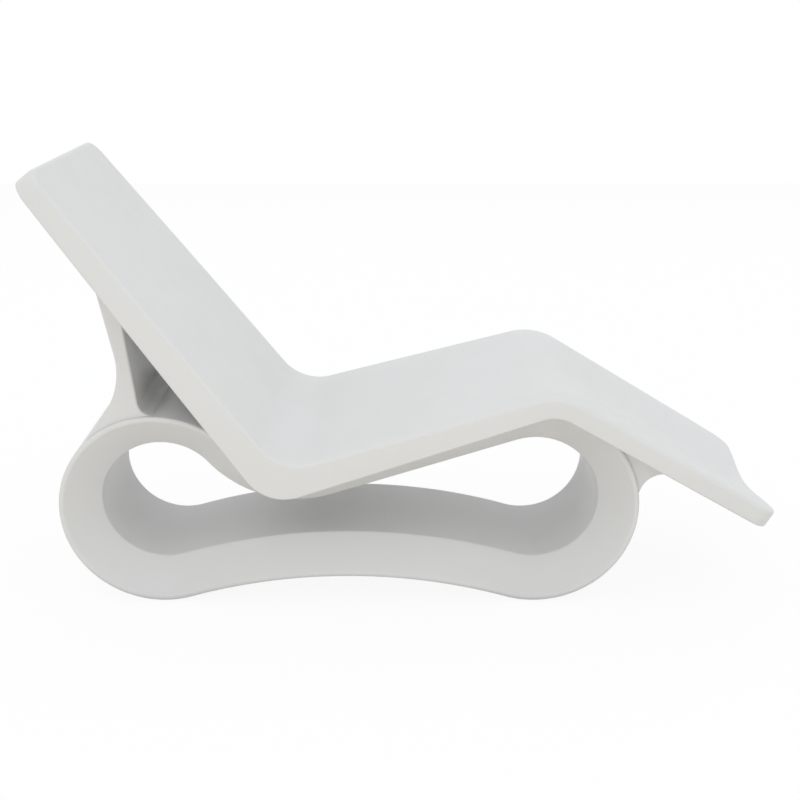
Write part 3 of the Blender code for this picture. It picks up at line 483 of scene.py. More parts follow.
def cut_out(piece, shape):
    """Take a closed cutter out of a piece and keep only the finished mesh."""
    cutter = make_piece(piece.name + "_cutter", shape)
    step = piece.modifiers.new("Recesses", "BOOLEAN")
    step.operation = "DIFFERENCE"
    step.solver = "EXACT"
    step.object = cutter
    graph = bpy.context.evaluated_depsgraph_get()
    finished = bpy.data.meshes.new_from_object(piece.evaluated_get(graph))
    piece.modifiers.clear()
    plain = piece.data
    piece.data = finished
    finished.set_sharp_from_angle(angle=SHARP_TURN)
    for mesh in (cutter.data, plain):
        bpy.data.meshes.remove(mesh)


def dress(piece, node, material):
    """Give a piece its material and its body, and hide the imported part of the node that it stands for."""
    piece.data.materials.clear()
    piece.data.materials.append(material)
    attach(piece, "root")
    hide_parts(node)


def inside_frame(points):
    """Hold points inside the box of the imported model."""
    return np.clip(points, np.array(CAD_BOX[0]), np.array(CAD_BOX[1]))


def seat_surface(seat, side):
    """The slab: a rounded edge band on a grid of depth by outline, closed by an upper and a lower field.

    A place is its travel along the upper line, its reach from the middle and its sink. It lies at
    upper(travel) + down (sink + dish) or at under(travel) - down sink, where down points from the
    upper line to the underside, and dish is half the dish depth times 1 + cos(pi reach share).
    The half width falls from the hip toward each end as a power of the distance.
    """
    upper, under = side["upper"], side["under"]
    travels = np.concatenate([[0], np.cumsum(np.linalg.norm(np.diff(upper, axis=0), axis=1))])
    whole = travels[-1]
    rest = seat.seat_run + seat.leg_run

    def half_width(travel):
        toward_head = np.clip((seat.back_run - travel) / seat.back_run, 0, 1) ** seat.head_taper_power
        toward_foot = np.clip((travel - seat.back_run) / rest, 0, None) ** seat.foot_taper_power
        loss = (1 - seat.head_width_share) * toward_head + (1 - seat.foot_width_share) * toward_foot
        return seat.hip_width * HALF * (1 - loss)

    def dish(travel, reach):
        along = np.clip(travel / seat.back_run, 0, 1)
        beyond = np.clip((travel - seat.back_run) / rest, 0, 1)
        at_hip = seat.hip_dish * along * along * (3 - 2 * along)
        depth = at_hip + (seat.foot_dish - seat.hip_dish) * beyond
        across = np.clip(np.abs(reach) / (half_width(travel) - seat.edge_radius), 0, 1)
        return depth * HALF * (1 + np.cos(math.pi * across))

    def place(travel, reach, sink, on_top):
        top = np.stack([np.interp(travel, travels, upper[:, axis]) for axis in (0, 1)], axis=-1)
        low = np.stack([np.interp(travel, travels, under[:, axis]) for axis in (0, 1)], axis=-1)
        down = unit(low - top)
        if on_top:
            flat = top + down * (sink + dish(travel, reach))[..., None]
        else:
            flat = low - down * np.asarray(sink)[..., None]
        return np.stack([flat[..., 0], np.broadcast_to(reach, flat[..., 0].shape), flat[..., 1]], axis=-1)

    def flank(pull):
        corner = np.linspace(0, math.pi * HALF, CORNER_PARTS + 1)
        head_corner, foot_corner = seat.head_corner - pull, seat.foot_corner - pull
        head_travel = seat.head_corner - head_corner * np.cos(corner)
        foot_travel = whole - seat.foot_corner + foot_corner * np.cos(corner[::-1])
        head_reach = half_width(head_travel) - seat.head_corner + head_corner * np.sin(corner)
        foot_reach = half_width(foot_travel) - seat.foot_corner + foot_corner * np.sin(corner[::-1])
        keep = (travels > seat.head_corner + WELD) & (travels < whole - seat.foot_corner - WELD)
        middle = travels[keep]
        return (np.concatenate([head_travel, middle, foot_travel]),
                np.concatenate([head_reach, half_width(middle) - pull, foot_reach]))

    rounding = np.sin(np.linspace(-HALF, HALF, ACROSS_PARTS + 1) * math.pi * CROWDING_SHARE)
    shares = rounding / rounding[-1]

    def ring(pull, sink, on_top):
        travel, reach = flank(pull)
        inner = shares[1:-1]
        trip_travel = np.concatenate([travel, np.full(len(inner), travel[-1]),
                                      travel[::-1], np.full(len(inner), travel[0])])
        trip_reach = np.concatenate([-reach, inner * reach[-1], reach[::-1], inner[::-1] * reach[0]])
        return place(trip_travel, trip_reach, np.full(len(trip_travel), sink), on_top)

    turns = np.linspace(0, math.pi * HALF, EDGE_PARTS + 1)
    lean, rise = 1 - np.cos(turns), 1 - np.sin(turns)
    top_edge, low_edge = seat.edge_radius, seat.under_edge_radius
    rings = [ring(top_edge * pull, top_edge * sink, True)
             for pull, sink in zip(lean[::-1], rise[::-1])]
    rings += [ring(low_edge * pull, low_edge * sink, False) for pull, sink in zip(lean, rise)]
    surfaces = [(np.vstack(rings), quads(len(rings), len(rings[0]), wrap_columns=True))]
    for on_top, edge in ((True, top_edge), (False, low_edge)):
        travel, reach = flank(edge)
        field_travel = np.repeat(travel[:, None], ACROSS_PARTS + 1, axis=1)
        field_reach = reach[:, None] * shares[None, :]
        field = place(field_travel, field_reach, np.zeros(field_travel.shape), on_top)
        surfaces.append((field.reshape(-1, 3), quads(len(travel), ACROSS_PARTS + 1)))
    points, cells = join(surfaces)
    return inside_frame(points), cells


def loop_surface(loop, side):
    """The loop: one section carried round, a grid of stations by section points, closed both ways.

    At a station, outward points from the inner to the outer side. The section runs from the inner
    edge up the slanting side to the upright band of the rim, across the outer side, and back down,
    and its point at height h and reach y lies at throat + outward h, y across.
    """
    outer, inner = loop_outlines(loop, side)
    depth = np.linalg.norm(outer - inner, axis=1)
    outward = (outer - inner) / depth[:, None]
    half_rim, half_throat = loop.width * HALF, loop.throat_width * HALF
    upright, across = np.array([1.0, 0.0]), np.array([0.0, 1.0])
    throat = across * half_throat
    mirror = upright - across
    sections = []
    for height in depth:
        rim = np.array([height, half_rim])
        shoulder = rim - upright * loop.rim_land
        slant = unit(shoulder - throat)
        low_edge = eased(throat, -across, slant, loop.throat_radius, RIM_PARTS)
        bend = eased(shoulder, -slant, upright, loop.rim_shoulder, RIM_PARTS)
        high_edge = eased(rim, -upright, -across, loop.rim_radius, RIM_PARTS)
        face = run(low_edge[-1], bend[0], FLAT_PARTS)[1:-1]
        side_up = np.vstack([low_edge, face, bend, high_edge])
        outer_side = run(side_up[-1], side_up[-1] * mirror, FLAT_PARTS)[1:-1]
        inner_side = run(side_up[0] * mirror, side_up[0], FLAT_PARTS)[1:-1]
        sections.append(np.vstack([side_up, outer_side, side_up[::-1] * mirror, inner_side]))
    section = np.stack(sections)
    flat = inner[:, None, :] + outward[:, None, :] * section[:, :, :1]
    points = np.stack([flat[..., 0], section[..., 1], flat[..., 1]], axis=-1)
    rows, columns = points.shape[:2]
    return inside_frame(points.reshape(-1, 3)), quads(rows, columns, wrap_rows=True, wrap_columns=True)


def strut_turns(strut):
    """Turns on the head lobe that the strut stands between."""
    return math.pi * HALF + strut.window_turn, math.pi * HALF + strut.rear_turn


def strut_sides(strut, loop, side):
    """The strut's rear side going up and its window side coming down, as lines with one bend each."""
    head = loop_centres(loop, side)[0]
    reach = loop.head_lobe_radius + loop.depth + strut.blunt
    top = side["back_start"] - left_of(side["back"]) * loop.gap
    window_turn, rear_turn = strut_turns(strut)
    rear_lean = heading(math.pi * HALF + strut.rear_lean)
    window_lean = heading(math.pi * HALF + strut.window_lean)
    rear_start = head + heading(rear_turn) * reach
    rear_corner = rear_start + heading(strut.rear_rise) * strut.rear_run
    rear_top = lines_cross(rear_corner, rear_lean, top, side["back"])
    rear = corner_arc(rear_corner, heading(strut.rear_rise), rear_lean, strut.rear_radius, ARC_PARTS)
    rightward = -left_of(heading(window_turn))
    window_corner = head + heading(window_turn) * reach - rightward * strut.window_radius
    window_top = lines_cross(window_corner, window_lean, top, side["back"])
    window = corner_arc(window_corner, -window_lean, rightward, strut.window_radius, ARC_PARTS)
    crown = corner_arc(window_top, side["back"], -window_lean, strut.crown_radius, CORNER_PARTS)
    return np.vstack([rear_start, rear, rear_top]), np.vstack([crown, window])


def resampled(points, count):
    """The same line with its points at equal distances along it."""
    travels = np.concatenate([[0], np.cumsum(np.linalg.norm(np.diff(points, axis=0), axis=1))])
    places = np.linspace(0, travels[-1], count)
    return np.column_stack([np.interp(places, travels, points[:, axis]) for axis in (0, 1)])


def web_surface(first, second, width, radius, bow):
    """A web between two lines: a rounded rectangle carried along both, and closed at both ends.

    At each station the section is a rectangle from the first line's point to the second's, width
    across, with its four corners turned with one radius, so a corner point is the corner's centre
    plus radius (cos a, sin a). A section bows by 4 bow s (1 - s) at the share s of its way, also
    at the points that lie between the corners on both flanks.
    """
    long_side = np.linalg.norm(second - first, axis=1)
    along = (second - first) / long_side[:, None]
    turns = np.linspace(0, math.pi * HALF, RIM_PARTS + 1)
    between = np.linspace(0, 1, FLANK_PARTS + 1)[1:-1]
    spots = []
    for quarter, (end, edge) in enumerate(((1, 1), (0, 1), (0, -1), (1, -1))):
        angles = turns + quarter * math.pi * HALF
        spots.append((np.full(len(angles), end), radius * (np.cos(angles) + 1 - 2 * end),
                      edge * (width * HALF - radius) + radius * np.sin(angles)))
        if quarter in (0, 2):
            passed = np.abs(end - between)
            spots.append((passed, radius * (1 - 2 * passed), np.full(len(passed), edge * width * HALF)))
    passed, lean, reach = (np.concatenate(part) for part in zip(*spots))
    forward = passed * long_side[:, None] + lean
    way = forward / long_side[:, None]
    raised = 4 * bow[:, None] * way * (1 - way)
    upward = np.column_stack([-along[:, 1], along[:, 0]])
    flat = first[:, None, :] + along[:, None, :] * forward[..., None]
    flat = flat + upward[:, None, :] * raised[..., None]
    points = np.stack([flat[..., 0], np.broadcast_to(reach, forward.shape), flat[..., 1]], axis=-1)
    rows, columns = points.shape[:2]
    ends = [np.vstack([ring, ring.mean(axis=0)[None, :].repeat(columns, axis=0)])
            for ring in (points[0], points[-1])]
    caps = [(end, quads(2, columns, wrap_columns=True)) for end in ends]
    return join([(points.reshape(-1, 3), quads(rows, columns, wrap_columns=True)), *caps])


def foot_bow(first, second, centre, fade):
    """Rise that lays the foot of a web on a lobe.

    With r the first line's distance from the lobe's centre and w the distance between the lines,
    the rise is r - sqrt(r^2 - (w / 2)^2), and it eases out to nothing over the height fade.
    """
    half_way = np.linalg.norm(second - first, axis=1) * HALF
    reach = np.linalg.norm(first - centre, axis=1)
    rise = reach - np.sqrt(np.maximum(reach ** 2 - half_way ** 2, 0))
    risen = np.clip((reach - reach[1]) / fade, 0, 1)
    return rise * (1 - risen) ** 2 * (1 + 2 * risen)


def strut_surface(strut, loop, side):
    """The strut as a web between its rear and window sides, its ends sunk into its neighbours."""
    head = loop_centres(loop, side)[0]
    rear, window = strut_sides(strut, loop, side)
    window = window[::-1]
    into_back = left_of(side["back"]) * strut.sink
    ends = [(rear, rear[-1] + into_back), (window, window[-1] + into_back)]
    lines = []
    for points, top in ends:
        foot = points[0] + unit(head - points[0]) * (strut.sink + strut.blunt)
        body = resampled(points, 2 * LINE_PARTS)
        lines.append(np.vstack([foot, body, top]))
    bow = foot_bow(lines[0], lines[1], head, strut.bow_reach)
    return web_surface(lines[0], lines[1], strut.width, strut.edge_radius, bow)


def gusset_surface(gusset, loop, side):
    """The gusset as a web between its hollow side, an arc, and a line deep in the wedge behind it."""
    foot = loop_centres(loop, side)[1]
    reach = loop.foot_lobe_radius + loop.depth
    under = left_of(side["leg"])
    leg_line = side["leg_end"] - under * loop.gap
    centre = circle_crossing(leg_line - under * (gusset.fillet + 2 * gusset.blunt), -side["leg"], foot,
                             reach + gusset.fillet, -1)
    start = turn_of(foot - centre) % math.tau - math.sqrt(2 * gusset.blunt / gusset.fillet)
    hollow = arc(centre, gusset.fillet, start, turn_of(under), ARC_PARTS)
    low = hollow[0] + unit(foot - hollow[0]) * (gusset.sink + gusset.blunt)
    high = hollow[-1] + under * (gusset.sink + gusset.blunt)
    tip = circle_crossing(side["leg_end"], -side["leg"], foot, reach, -1)
    deep = run(foot + unit(tip - foot) * (reach - gusset.sink), tip + under * gusset.sink,
               len(hollow) + 1)
    edge = np.vstack([low, hollow, high])
    bow = -foot_bow(edge, deep, foot, gusset.fillet)
    return web_surface(edge, deep, gusset.width, gusset.edge_radius, bow)


def lathe(profile, hexagon_rows=(), parts=ROUND_PARTS):
    """A (radius, height) profile turned about Z: (r cos a, r sin a, h); hexagon rows have six sides."""
    profile = np.array(profile, dtype=float)
    turns = np.linspace(0, math.tau, parts, endpoint=False)
    sixth = math.tau / 6
    six_sided = math.cos(sixth * HALF) / np.cos(turns % sixth - sixth * HALF)
    reach = np.repeat(profile[:, :1], parts, axis=1)
    reach[list(hexagon_rows)] *= six_sided
    height = np.repeat(profile[:, 1:], parts, axis=1)
    points = np.stack([reach * np.cos(turns), reach * np.sin(turns), height], axis=-1)
    return points.reshape(-1, 3), quads(len(profile), parts, wrap_columns=True)


def rounded_profile(corners, radius):
    """A profile whose corners are eased, but for its first and last point."""
    corners = np.array(corners, dtype=float)
    rounded = [corners[:1]]
    for before, corner, after in zip(corners, corners[1:], corners[2:]):
        toward, away = before - corner, after - corner
        size = min(radius, np.linalg.norm(toward) / 3, np.linalg.norm(away) / 3)
        rounded.append(eased(corner, unit(toward), unit(away), size, LIP_PARTS))
    rounded.append(corners[-1:])
    return np.vstack(rounded)


def stand_up(shape, origin, axis):
    """Turn a shape's Z to the axis and move it to the origin."""
    points, cells = shape
    spin = np.array(Vector(axis).to_track_quat("Z", "Y").to_matrix())
    return points @ spin.T + np.array(origin), cells


def side_point(point, across):
    """A point of the side view at a distance across the width."""
    return (float(point[0]), float(across), float(point[1]))


def joint_places(scene):
    """Origin, axis, depth of the part that the bolt passes, and grip of each bolt, by node name."""
    loop, strut, bolts = scene.lounger_loop, scene.lounger_strut, scene.lounger_fasteners
    side = side_lines(scene.lounger_seat, loop)
    head, foot, _, _ = loop_centres(loop, side)
    seat_down, back_down = -left_of(side["seat"]), -left_of(side["back"])
    through = loop.depth - bolts.spot_depth
    window_turn, rear_turn = strut_turns(strut)
    strut_out = heading(window_turn + (rear_turn - window_turn) * bolts.strut_share)
    leave = circle_crossing(side["leg_end"], -side["leg"], foot, loop.foot_lobe_radius + loop.depth, -1)
    gusset_out = heading(turn_of(leave - foot) - bolts.gusset_fall)
    rear, window = strut_sides(strut, loop, side)
    strut_top = window[0] + (rear[-1] - window[0]) * bolts.back_share
    run_of_seat = side["seat_end"] - side["seat_start"]
    groups = {
        "seat": [(side["seat_start"] + run_of_seat * part, seat_down, bolts.seat_spread)
                 for part in (bolts.seat_share_head, bolts.seat_share_foot)],
        "strut": [(head + strut_out * (loop.head_lobe_radius + loop.depth + loop.gap), -strut_out,
                   bolts.strut_spread)],
        "back": [(strut_top, back_down, bolts.back_spread)],
        "gusset": [(foot + gusset_out * (loop.foot_lobe_radius + loop.depth + loop.gap), -gusset_out,
                    bolts.gusset_spread)]}
    places = {}
    for name, spots in groups.items():
        depth = bolts.back_depth if name == "back" else through
        grip = bolts.gusset_grip if name == "gusset" else bolts.seat_grip
        number = 0
        for point, axis, spread in spots:
            for sign in (-1, 1):
                number += 1
                places[f"{name}_bolt_{number}"] = (side_point(point, sign * spread), side_point(axis, 0),
                                                   depth, grip)
    return places


def recess(bolts, depth):
    """Cutter for a bolt's recess and the hole below it, with a soft lip at the recess's floor."""
    bottom, mouth = depth - bolts.hole_depth, depth + 3 * bolts.spot_radius
    return lathe(rounded_profile([(0, bottom), (bolts.hole_radius, bottom), (bolts.hole_radius, depth),
                                  (bolts.spot_radius, depth), (bolts.spot_radius, mouth), (0, mouth)],
                                 bolts.lip))


def recesses(scene, names):
    """The cutters of all recesses for bolts whose names start alike."""
    places = joint_places(scene)
    chosen = [places[node] for node in sorted(places) if node.startswith(names)]
    return [stand_up(recess(scene.lounger_fasteners, depth), origin, axis)
            for origin, axis, depth, _ in chosen]


def plug_places(scene):
    """Origin and outward axis of each plug, by node name."""
    loop = scene.lounger_loop
    side = side_lines(scene.lounger_seat, loop)
    crest = loop_centres(loop, side)[2]
    low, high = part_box("loop_plug")
    middle = (low[0] + high[0]) * HALF
    fall = math.sqrt((loop.crest_radius - loop.depth) ** 2 - (middle - crest[0]) ** 2)
    under_crest = np.array([middle, crest[1] + fall])
    run_of_back = side["back_end"] - side["back_start"]
    on_back = side["back_start"] + run_of_back * scene.lounger_pads.seat_plug_share
    return {"seat_plug": (side_point(on_back, 0), side_point(-left_of(side["back"]), 0)),
            "loop_plug": (side_point(under_crest, 0), side_point(unit(crest - under_crest), 0))}


def plug_hole(pads, gap):
    """Cutter for the shallow seat of a plug's cap."""
    wide, deep = pads.plug_cap_radius + gap, 2 * pads.plug_cap_height
    return lathe([(0, -deep), (wide, -deep), (wide, deep), (0, deep)])


def pad_places(scene):
    """Middle of each floor pad, by number."""
    loop, spread = scene.lounger_loop, scene.lounger_pads.spread
    head, foot, _, _ = loop_centres(loop, side_lines(scene.lounger_seat, loop))
    corners = ((head, -1), (head, 1), (foot, -1), (foot, 1))
    return {number: (lobe[0], sign * spread, 0.0) for number, (lobe, sign) in enumerate(corners, 1)}


def new_material(name):
    """A material with its shader and a source of coordinates fixed to the piece."""
    material = bpy.data.materials.new(name)
    material.use_nodes = True
    tree = material.node_tree
    shader = tree.nodes["Principled BSDF"]
    coordinates = tree.nodes.new("ShaderNodeTexCoord")
    return material, tree, shader, coordinates.outputs["Object"]


def noise(tree, source, scale, detail=2.0):
    """Noise on the piece's own coordinates."""
    texture = tree.nodes.new("ShaderNodeTexNoise")
    texture.inputs["Scale"].default_value = scale
    texture.inputs["Detail"].default_value = detail
    tree.links.new(source, texture.inputs["Vector"])
    return texture.outputs["Fac"]


# Noise values that count as none and as full
NOISE_LOW, NOISE_HIGH = 0.3, 0.7


def spread_to(tree, value, low, high):
    """Carry a noise value into a range."""
    ranged = tree.nodes.new("ShaderNodeMapRange")
    for socket, amount in (("From Min", NOISE_LOW), ("From Max", NOISE_HIGH),
                           ("To Min", low), ("To Max", high)):
        ranged.inputs[socket].default_value = amount
    tree.links.new(value, ranged.inputs["Value"])
    return ranged.outputs["Result"]


def shade_between(tree, value, first, second):
    """Two colours mixed by a value that changes over the surface."""
    ramp = tree.nodes.new("ShaderNodeValToRGB")
    for number, (position, tone) in enumerate(((NOISE_LOW, first), (NOISE_HIGH, second))):
        ramp.color_ramp.elements[number].position = position
        ramp.color_ramp.elements[number].color = (*tone, 1.0)
    tree.links.new(value, ramp.inputs["Fac"])
    return ramp.outputs["Color"]


def bumped(tree, shader, layers):
    """Stack bump nodes: each layer is a height value, a strength and a distance."""
    normal = None
    for value, strength, distance in layers:
        bump = tree.nodes.new("ShaderNodeBump")
        bump.inputs["Strength"].default_value = strength
        bump.inputs["Distance"].default_value = distance
        tree.links.new(value, bump.inputs["Height"])
        if normal is not None:
            tree.links.new(normal, bump.inputs["Normal"])
        normal = bump.outputs["Normal"]
    tree.links.new(normal, shader.inputs["Normal"])


def tinted(tone, factors):
    """A colour with each channel scaled."""
    return tuple(min(max(channel * factor, 0.0), 1.0) for channel, factor in zip(tone, factors))


def shell_material(finishes):
    """Rotationally moulded polyethylene: satin, faintly pebbled, with slow changes of tone and gloss."""
    material, tree, shader, source = new_material("moulded_polyethylene")
    tone = tuple(finishes.shell)
    clouds = noise(tree, source, 3.2, 3.0)
    tree.links.new(shade_between(tree, clouds, tinted(tone, (0.985, 0.985, 0.98)),
                                 tinted(tone, (1.01, 1.01, 1.012))), shader.inputs["Base Color"])
    tree.links.new(spread_to(tree, noise(tree, source, 22.0, 4.0), 0.28, 0.38), shader.inputs["Roughness"])
    shader.inputs["Specular IOR Level"].default_value = 0.22
    bumped(tree, shader, [(noise(tree, source, 14.0, 2.0), 0.06, 0.0015),
                          (noise(tree, source, 420.0, 2.0), 0.05, 0.0004)])
    return material


def plug_material(finishes):
    """Moulded nylon: a little duller and finer than the shells."""
    material, tree, shader, source = new_material("moulded_nylon")
    tone = tuple(finishes.plug)
    tree.links.new(shade_between(tree, noise(tree, source, 60.0), tinted(tone, (0.97, 0.97, 0.965)), tone),
                   shader.inputs["Base Color"])
    tree.links.new(spread_to(tree, noise(tree, source, 300.0), 0.42, 0.55), shader.inputs["Roughness"])
    bumped(tree, shader, [(noise(tree, source, 1500.0), 0.15, 0.0002)])
    return material


def steel_material(finishes):
    """Stainless steel: fine turning marks in its gloss."""
    material, tree, shader, source = new_material("stainless_steel")
    tone = tuple(finishes.steel)
    shader.inputs["Metallic"].default_value = 1.0
    tree.links.new(shade_between(tree, noise(tree, source, 350.0), tinted(tone, (0.9, 0.9, 0.9)), tone),
                   shader.inputs["Base Color"])
    tree.links.new(spread_to(tree, noise(tree, source, 1200.0), 0.22, 0.38), shader.inputs["Roughness"])
    bumped(tree, shader, [(noise(tree, source, 2600.0), 0.08, 0.0001)])
    return material


def brass_material(finishes):
    """Turned brass: warm, with slight dark staining."""
    material, tree, shader, source = new_material("turned_brass")
    tone = tuple(finishes.brass)
    shader.inputs["Metallic"].default_value = 1.0
    tree.links.new(shade_between(tree, noise(tree, source, 260.0), tinted(tone, (0.8, 0.78, 0.72)), tone),
                   shader.inputs["Base Color"])
    tree.links.new(spread_to(tree, noise(tree, source, 900.0), 0.28, 0.45), shader.inputs["Roughness"])
    return material


def rubber_material(finishes):
    """Black rubber: matt, grainy, with a dusty bloom."""
    material, tree, shader, source = new_material("black_rubber")
    tone = tuple(finishes.rubber)
    tree.links.new(shade_between(tree, noise(tree, source, 180.0, 5.0), tone, tinted(tone, (2.0, 2.0, 1.9))),
                   shader.inputs["Base Color"])
    tree.links.new(spread_to(tree, noise(tree, source, 500.0), 0.72, 0.92), shader.inputs["Roughness"])
    bumped(tree, shader, [(noise(tree, source, 1400.0), 0.3, 0.0003)])
    return material


MAKERS = {"shell_white": shell_material, "plug_white": plug_material, "fastener_steel": steel_material,
          "insert_brass": brass_material, "pad_rubber": rubber_material}
MADE = {}


def material_for(slot_name):
    """The material of a slot, made once."""
    if slot_name not in MADE:
        MADE[slot_name] = MAKERS[slot_name](bpy.context.scene.lounger_finishes)
    return MADE[slot_name]


class LOUNGER_OT_seat_shell(bpy.types.Operator):
    """Make the bent slab of back, seat and leg rest"""
    bl_idname = "lounger.seat_shell"
    bl_label = "Seat Shell"

    def execute(self, context):
        scene = context.scene
        side = side_lines(scene.lounger_seat, scene.lounger_loop)
        piece = make_piece("moulded_seat", seat_surface(scene.lounger_seat, side))
        origin, axis = plug_places(scene)["seat_plug"]
        cut_out(piece, stand_up(plug_hole(scene.lounger_pads, scene.lounger_loop.gap), origin, axis))
        dress(piece, "seat_shell", material_for("shell_white"))
        return {"FINISHED"}


class LOUNGER_OT_base_loop(bpy.types.Operator):
    """Make the closed loop, with its recesses for bolts, pads and plug"""
    bl_idname = "lounger.base_loop"
    bl_label = "Base Loop"

    def execute(self, context):
        scene = context.scene
        pads, gap = scene.lounger_pads, scene.lounger_loop.gap
        side = side_lines(scene.lounger_seat, scene.lounger_loop)
        piece = make_piece("moulded_loop", loop_surface(scene.lounger_loop, side))
        wide, deep = pads.radius + gap, pads.height + gap
        pocket = lathe([(0, -deep), (wide, -deep), (wide, deep), (0, deep)])
        cutters = recesses(scene, ("seat", "strut", "gusset"))
        cutters += [stand_up(pocket, middle, (0, 0, 1)) for middle in pad_places(scene).values()]
        origin, axis = plug_places(scene)["loop_plug"]
        cutters.append(stand_up(plug_hole(pads, gap), origin, axis))
        cut_out(piece, join(cutters))
        dress(piece, "base_loop", material_for("shell_white"))
        return {"FINISHED"}


class LOUNGER_OT_back_strut(bpy.types.Operator):
    """Make the strut between the loop and the back"""
    bl_idname = "lounger.back_strut"
    bl_label = "Back Strut"

    def execute(self, context):
        scene = context.scene
        side = side_lines(scene.lounger_seat, scene.lounger_loop)
        shape = strut_surface(scene.lounger_strut, scene.lounger_loop, side)
        piece = make_piece("moulded_strut", shape)
        cut_out(piece, join(recesses(scene, ("back",))))
        dress(piece, "back_strut", material_for("shell_white"))
        return {"FINISHED"}


class LOUNGER_OT_foot_gusset(bpy.types.Operator):
    """Make the gusset between the loop and the leg rest"""
    bl_idname = "lounger.foot_gusset"
    bl_label = "Foot Gusset"

    def execute(self, context):
        scene = context.scene
        side = side_lines(scene.lounger_seat, scene.lounger_loop)
        shape = gusset_surface(scene.lounger_gusset, scene.lounger_loop, side)
        piece = make_piece("moulded_gusset", shape)
        dress(piece, "foot_gusset", material_for("shell_white"))
        return {"FINISHED"}


class LOUNGER_OT_bolts(bpy.types.Operator):
    """Make the flange bolts of all joints"""
    bl_idname = "lounger.bolts"
    bl_label = "Bolts"

    def execute(self, context):
        bolts = context.scene.lounger_fasteners
        gap = context.scene.lounger_loop.gap
        for node, (origin, axis, depth, grip) in joint_places(context.scene).items():
            seat = depth + gap
            top, flange = seat + bolts.head_height, seat + bolts.flange_height
            body = rounded_profile([(0, -grip), (bolts.bolt_radius, -grip), (bolts.bolt_radius, seat),
                                    (bolts.flange_radius, seat), (bolts.flange_radius, flange),
                                    (bolts.head_radius, flange), (bolts.head_radius, top),
                                    (bolts.socket_radius, top)], bolts.lip)
            bottom = top - bolts.socket_depth
            socket = [(bolts.socket_radius, top), (bolts.socket_radius, bottom), (0, bottom - bolts.lip)]
            shape = lathe(np.vstack([body[:-1], socket]), hexagon_rows=(len(body) - 1, len(body)))
            piece = make_piece("flange_" + node, stand_up(shape, origin, axis))
            dress(piece, node, material_for("fastener_steel"))
        return {"FINISHED"}


class LOUNGER_OT_floor_pads(bpy.types.Operator):
    """Make the rubber floor pads and their screws"""
    bl_idname = "lounger.floor_pads"
    bl_label = "Floor Pads"

    def execute(self, context):
        pads, gap = context.scene.lounger_pads, context.scene.lounger_loop.gap
        hole, head = pads.screw_radius + gap, pads.screw_head_radius + gap
        sink, groove = pads.screw_sink, pads.groove
        neck, drive = sink + pads.screw_head_height, sink + pads.screw_head_height * HALF
        apart = (pads.radius - pads.edge - head) / (TREAD_RINGS + 1)
        tread = []
        for ring in range(1, TREAD_RINGS + 1):
            start, end = head + apart * ring - groove, head + apart * ring + groove
            tread += [(start, 0), (start, groove), (end, groove), (end, 0)]
        inward, upward = np.array([-1.0, 0.0]), np.array([0.0, 1.0])
        rim = eased(-inward * pads.radius, inward, upward, pads.edge, PAD_EDGE_PARTS)
        pad = lathe(np.vstack([[(hole, pads.height), (hole, neck + gap), (head, sink + gap), (head, 0)],
                               tread, rim, [(pads.radius, pads.height), (hole, pads.height)]]))
        screw = lathe([(0, drive), (pads.screw_radius, drive), (pads.screw_radius, sink),
                       (pads.screw_head_radius, sink), (pads.screw_radius, neck),
                       (pads.screw_radius, pads.screw_length),
                       (0, pads.screw_length + pads.screw_radius)], hexagon_rows=(1, 2))
        for number, middle in pad_places(context.scene).items():
            for name, node, shape, slot_name in (
                    ("grip_pad", f"glide_{number}", pad, "pad_rubber"),
                    ("pad_screw", f"glide_screw_{number}", screw, "fastener_steel")):
                piece = make_piece(f"{name}_{number}", stand_up(shape, middle, (0, 0, 1)))
                dress(piece, node, material_for(slot_name))
        return {"FINISHED"}


class LOUNGER_OT_plugs(bpy.types.Operator):
    """Make the filling plugs of the two hollow mouldings"""
    bl_idname = "lounger.plugs"
    bl_label = "Plugs"

    def execute(self, context):
        pads, gap = context.scene.lounger_pads, context.scene.lounger_loop.gap
        under_cap = -pads.plug_cap_height
        body = rounded_profile([(0, -pads.plug_length), (pads.plug_radius, -pads.plug_length),
                                (pads.plug_radius, under_cap), (pads.plug_cap_radius, under_cap),
                                (pads.plug_cap_radius, -gap), (pads.plug_key_radius, -gap)], pads.groove)
        key = [(pads.plug_key_radius, -gap), (pads.plug_key_radius, -pads.plug_key_depth),
               (0, -pads.plug_key_depth)]
        shape = lathe(np.vstack([body[:-1], key]), hexagon_rows=(len(body) - 1, len(body)))
        for node, (origin, axis) in plug_places(context.scene).items():
            piece = make_piece("moulded_" + node, stand_up(shape, origin, axis))
            dress(piece, node, material_for("plug_white"))
        return {"FINISHED"}


class LOUNGER_OT_hidden_fittings(bpy.types.Operator):
    """Give the sleeves and inserts inside the joints their metal finishes"""
    bl_idname = "lounger.hidden_fittings"
    bl_label = "Hidden Fittings"

    def execute(self, context):
        for node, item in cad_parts.items():
            slot_name = "fastener_steel" if "_sleeve_" in node else "insert_brass"
            if "_sleeve_" in node or "_insert_" in node:
                for material_slot in item.material_slots:
                    material_slot.material = material_for(slot_name)
        return {"FINISHED"}


# The stage reaches this far to the front and to both sides
STAGE_REACH = 14.0

# The pale front floor ends at the split, and the rear floor bends up into the backdrop at the back
STAGE_SPLIT = -0.3
STAGE_BACK = 6.0
STAGE_BEND = 1.0
STAGE_HEIGHT = 1.8

# What the camera sees of the stage: pure white, with this share of a lit pale floor for the shadow
SHADOW_SHARE = 0.08
SHADOW_FLOOR = (0.97, 0.97, 0.97)
WHITE = (1.0, 1.0, 1.0)

# The photograph's camera, from the perspective of the slab and the loop
CAMERA_PLACE = (-0.0296, -2.643, 1.321)
CAMERA_TILT = math.radians(71.08)
CAMERA_LENS = 54.0

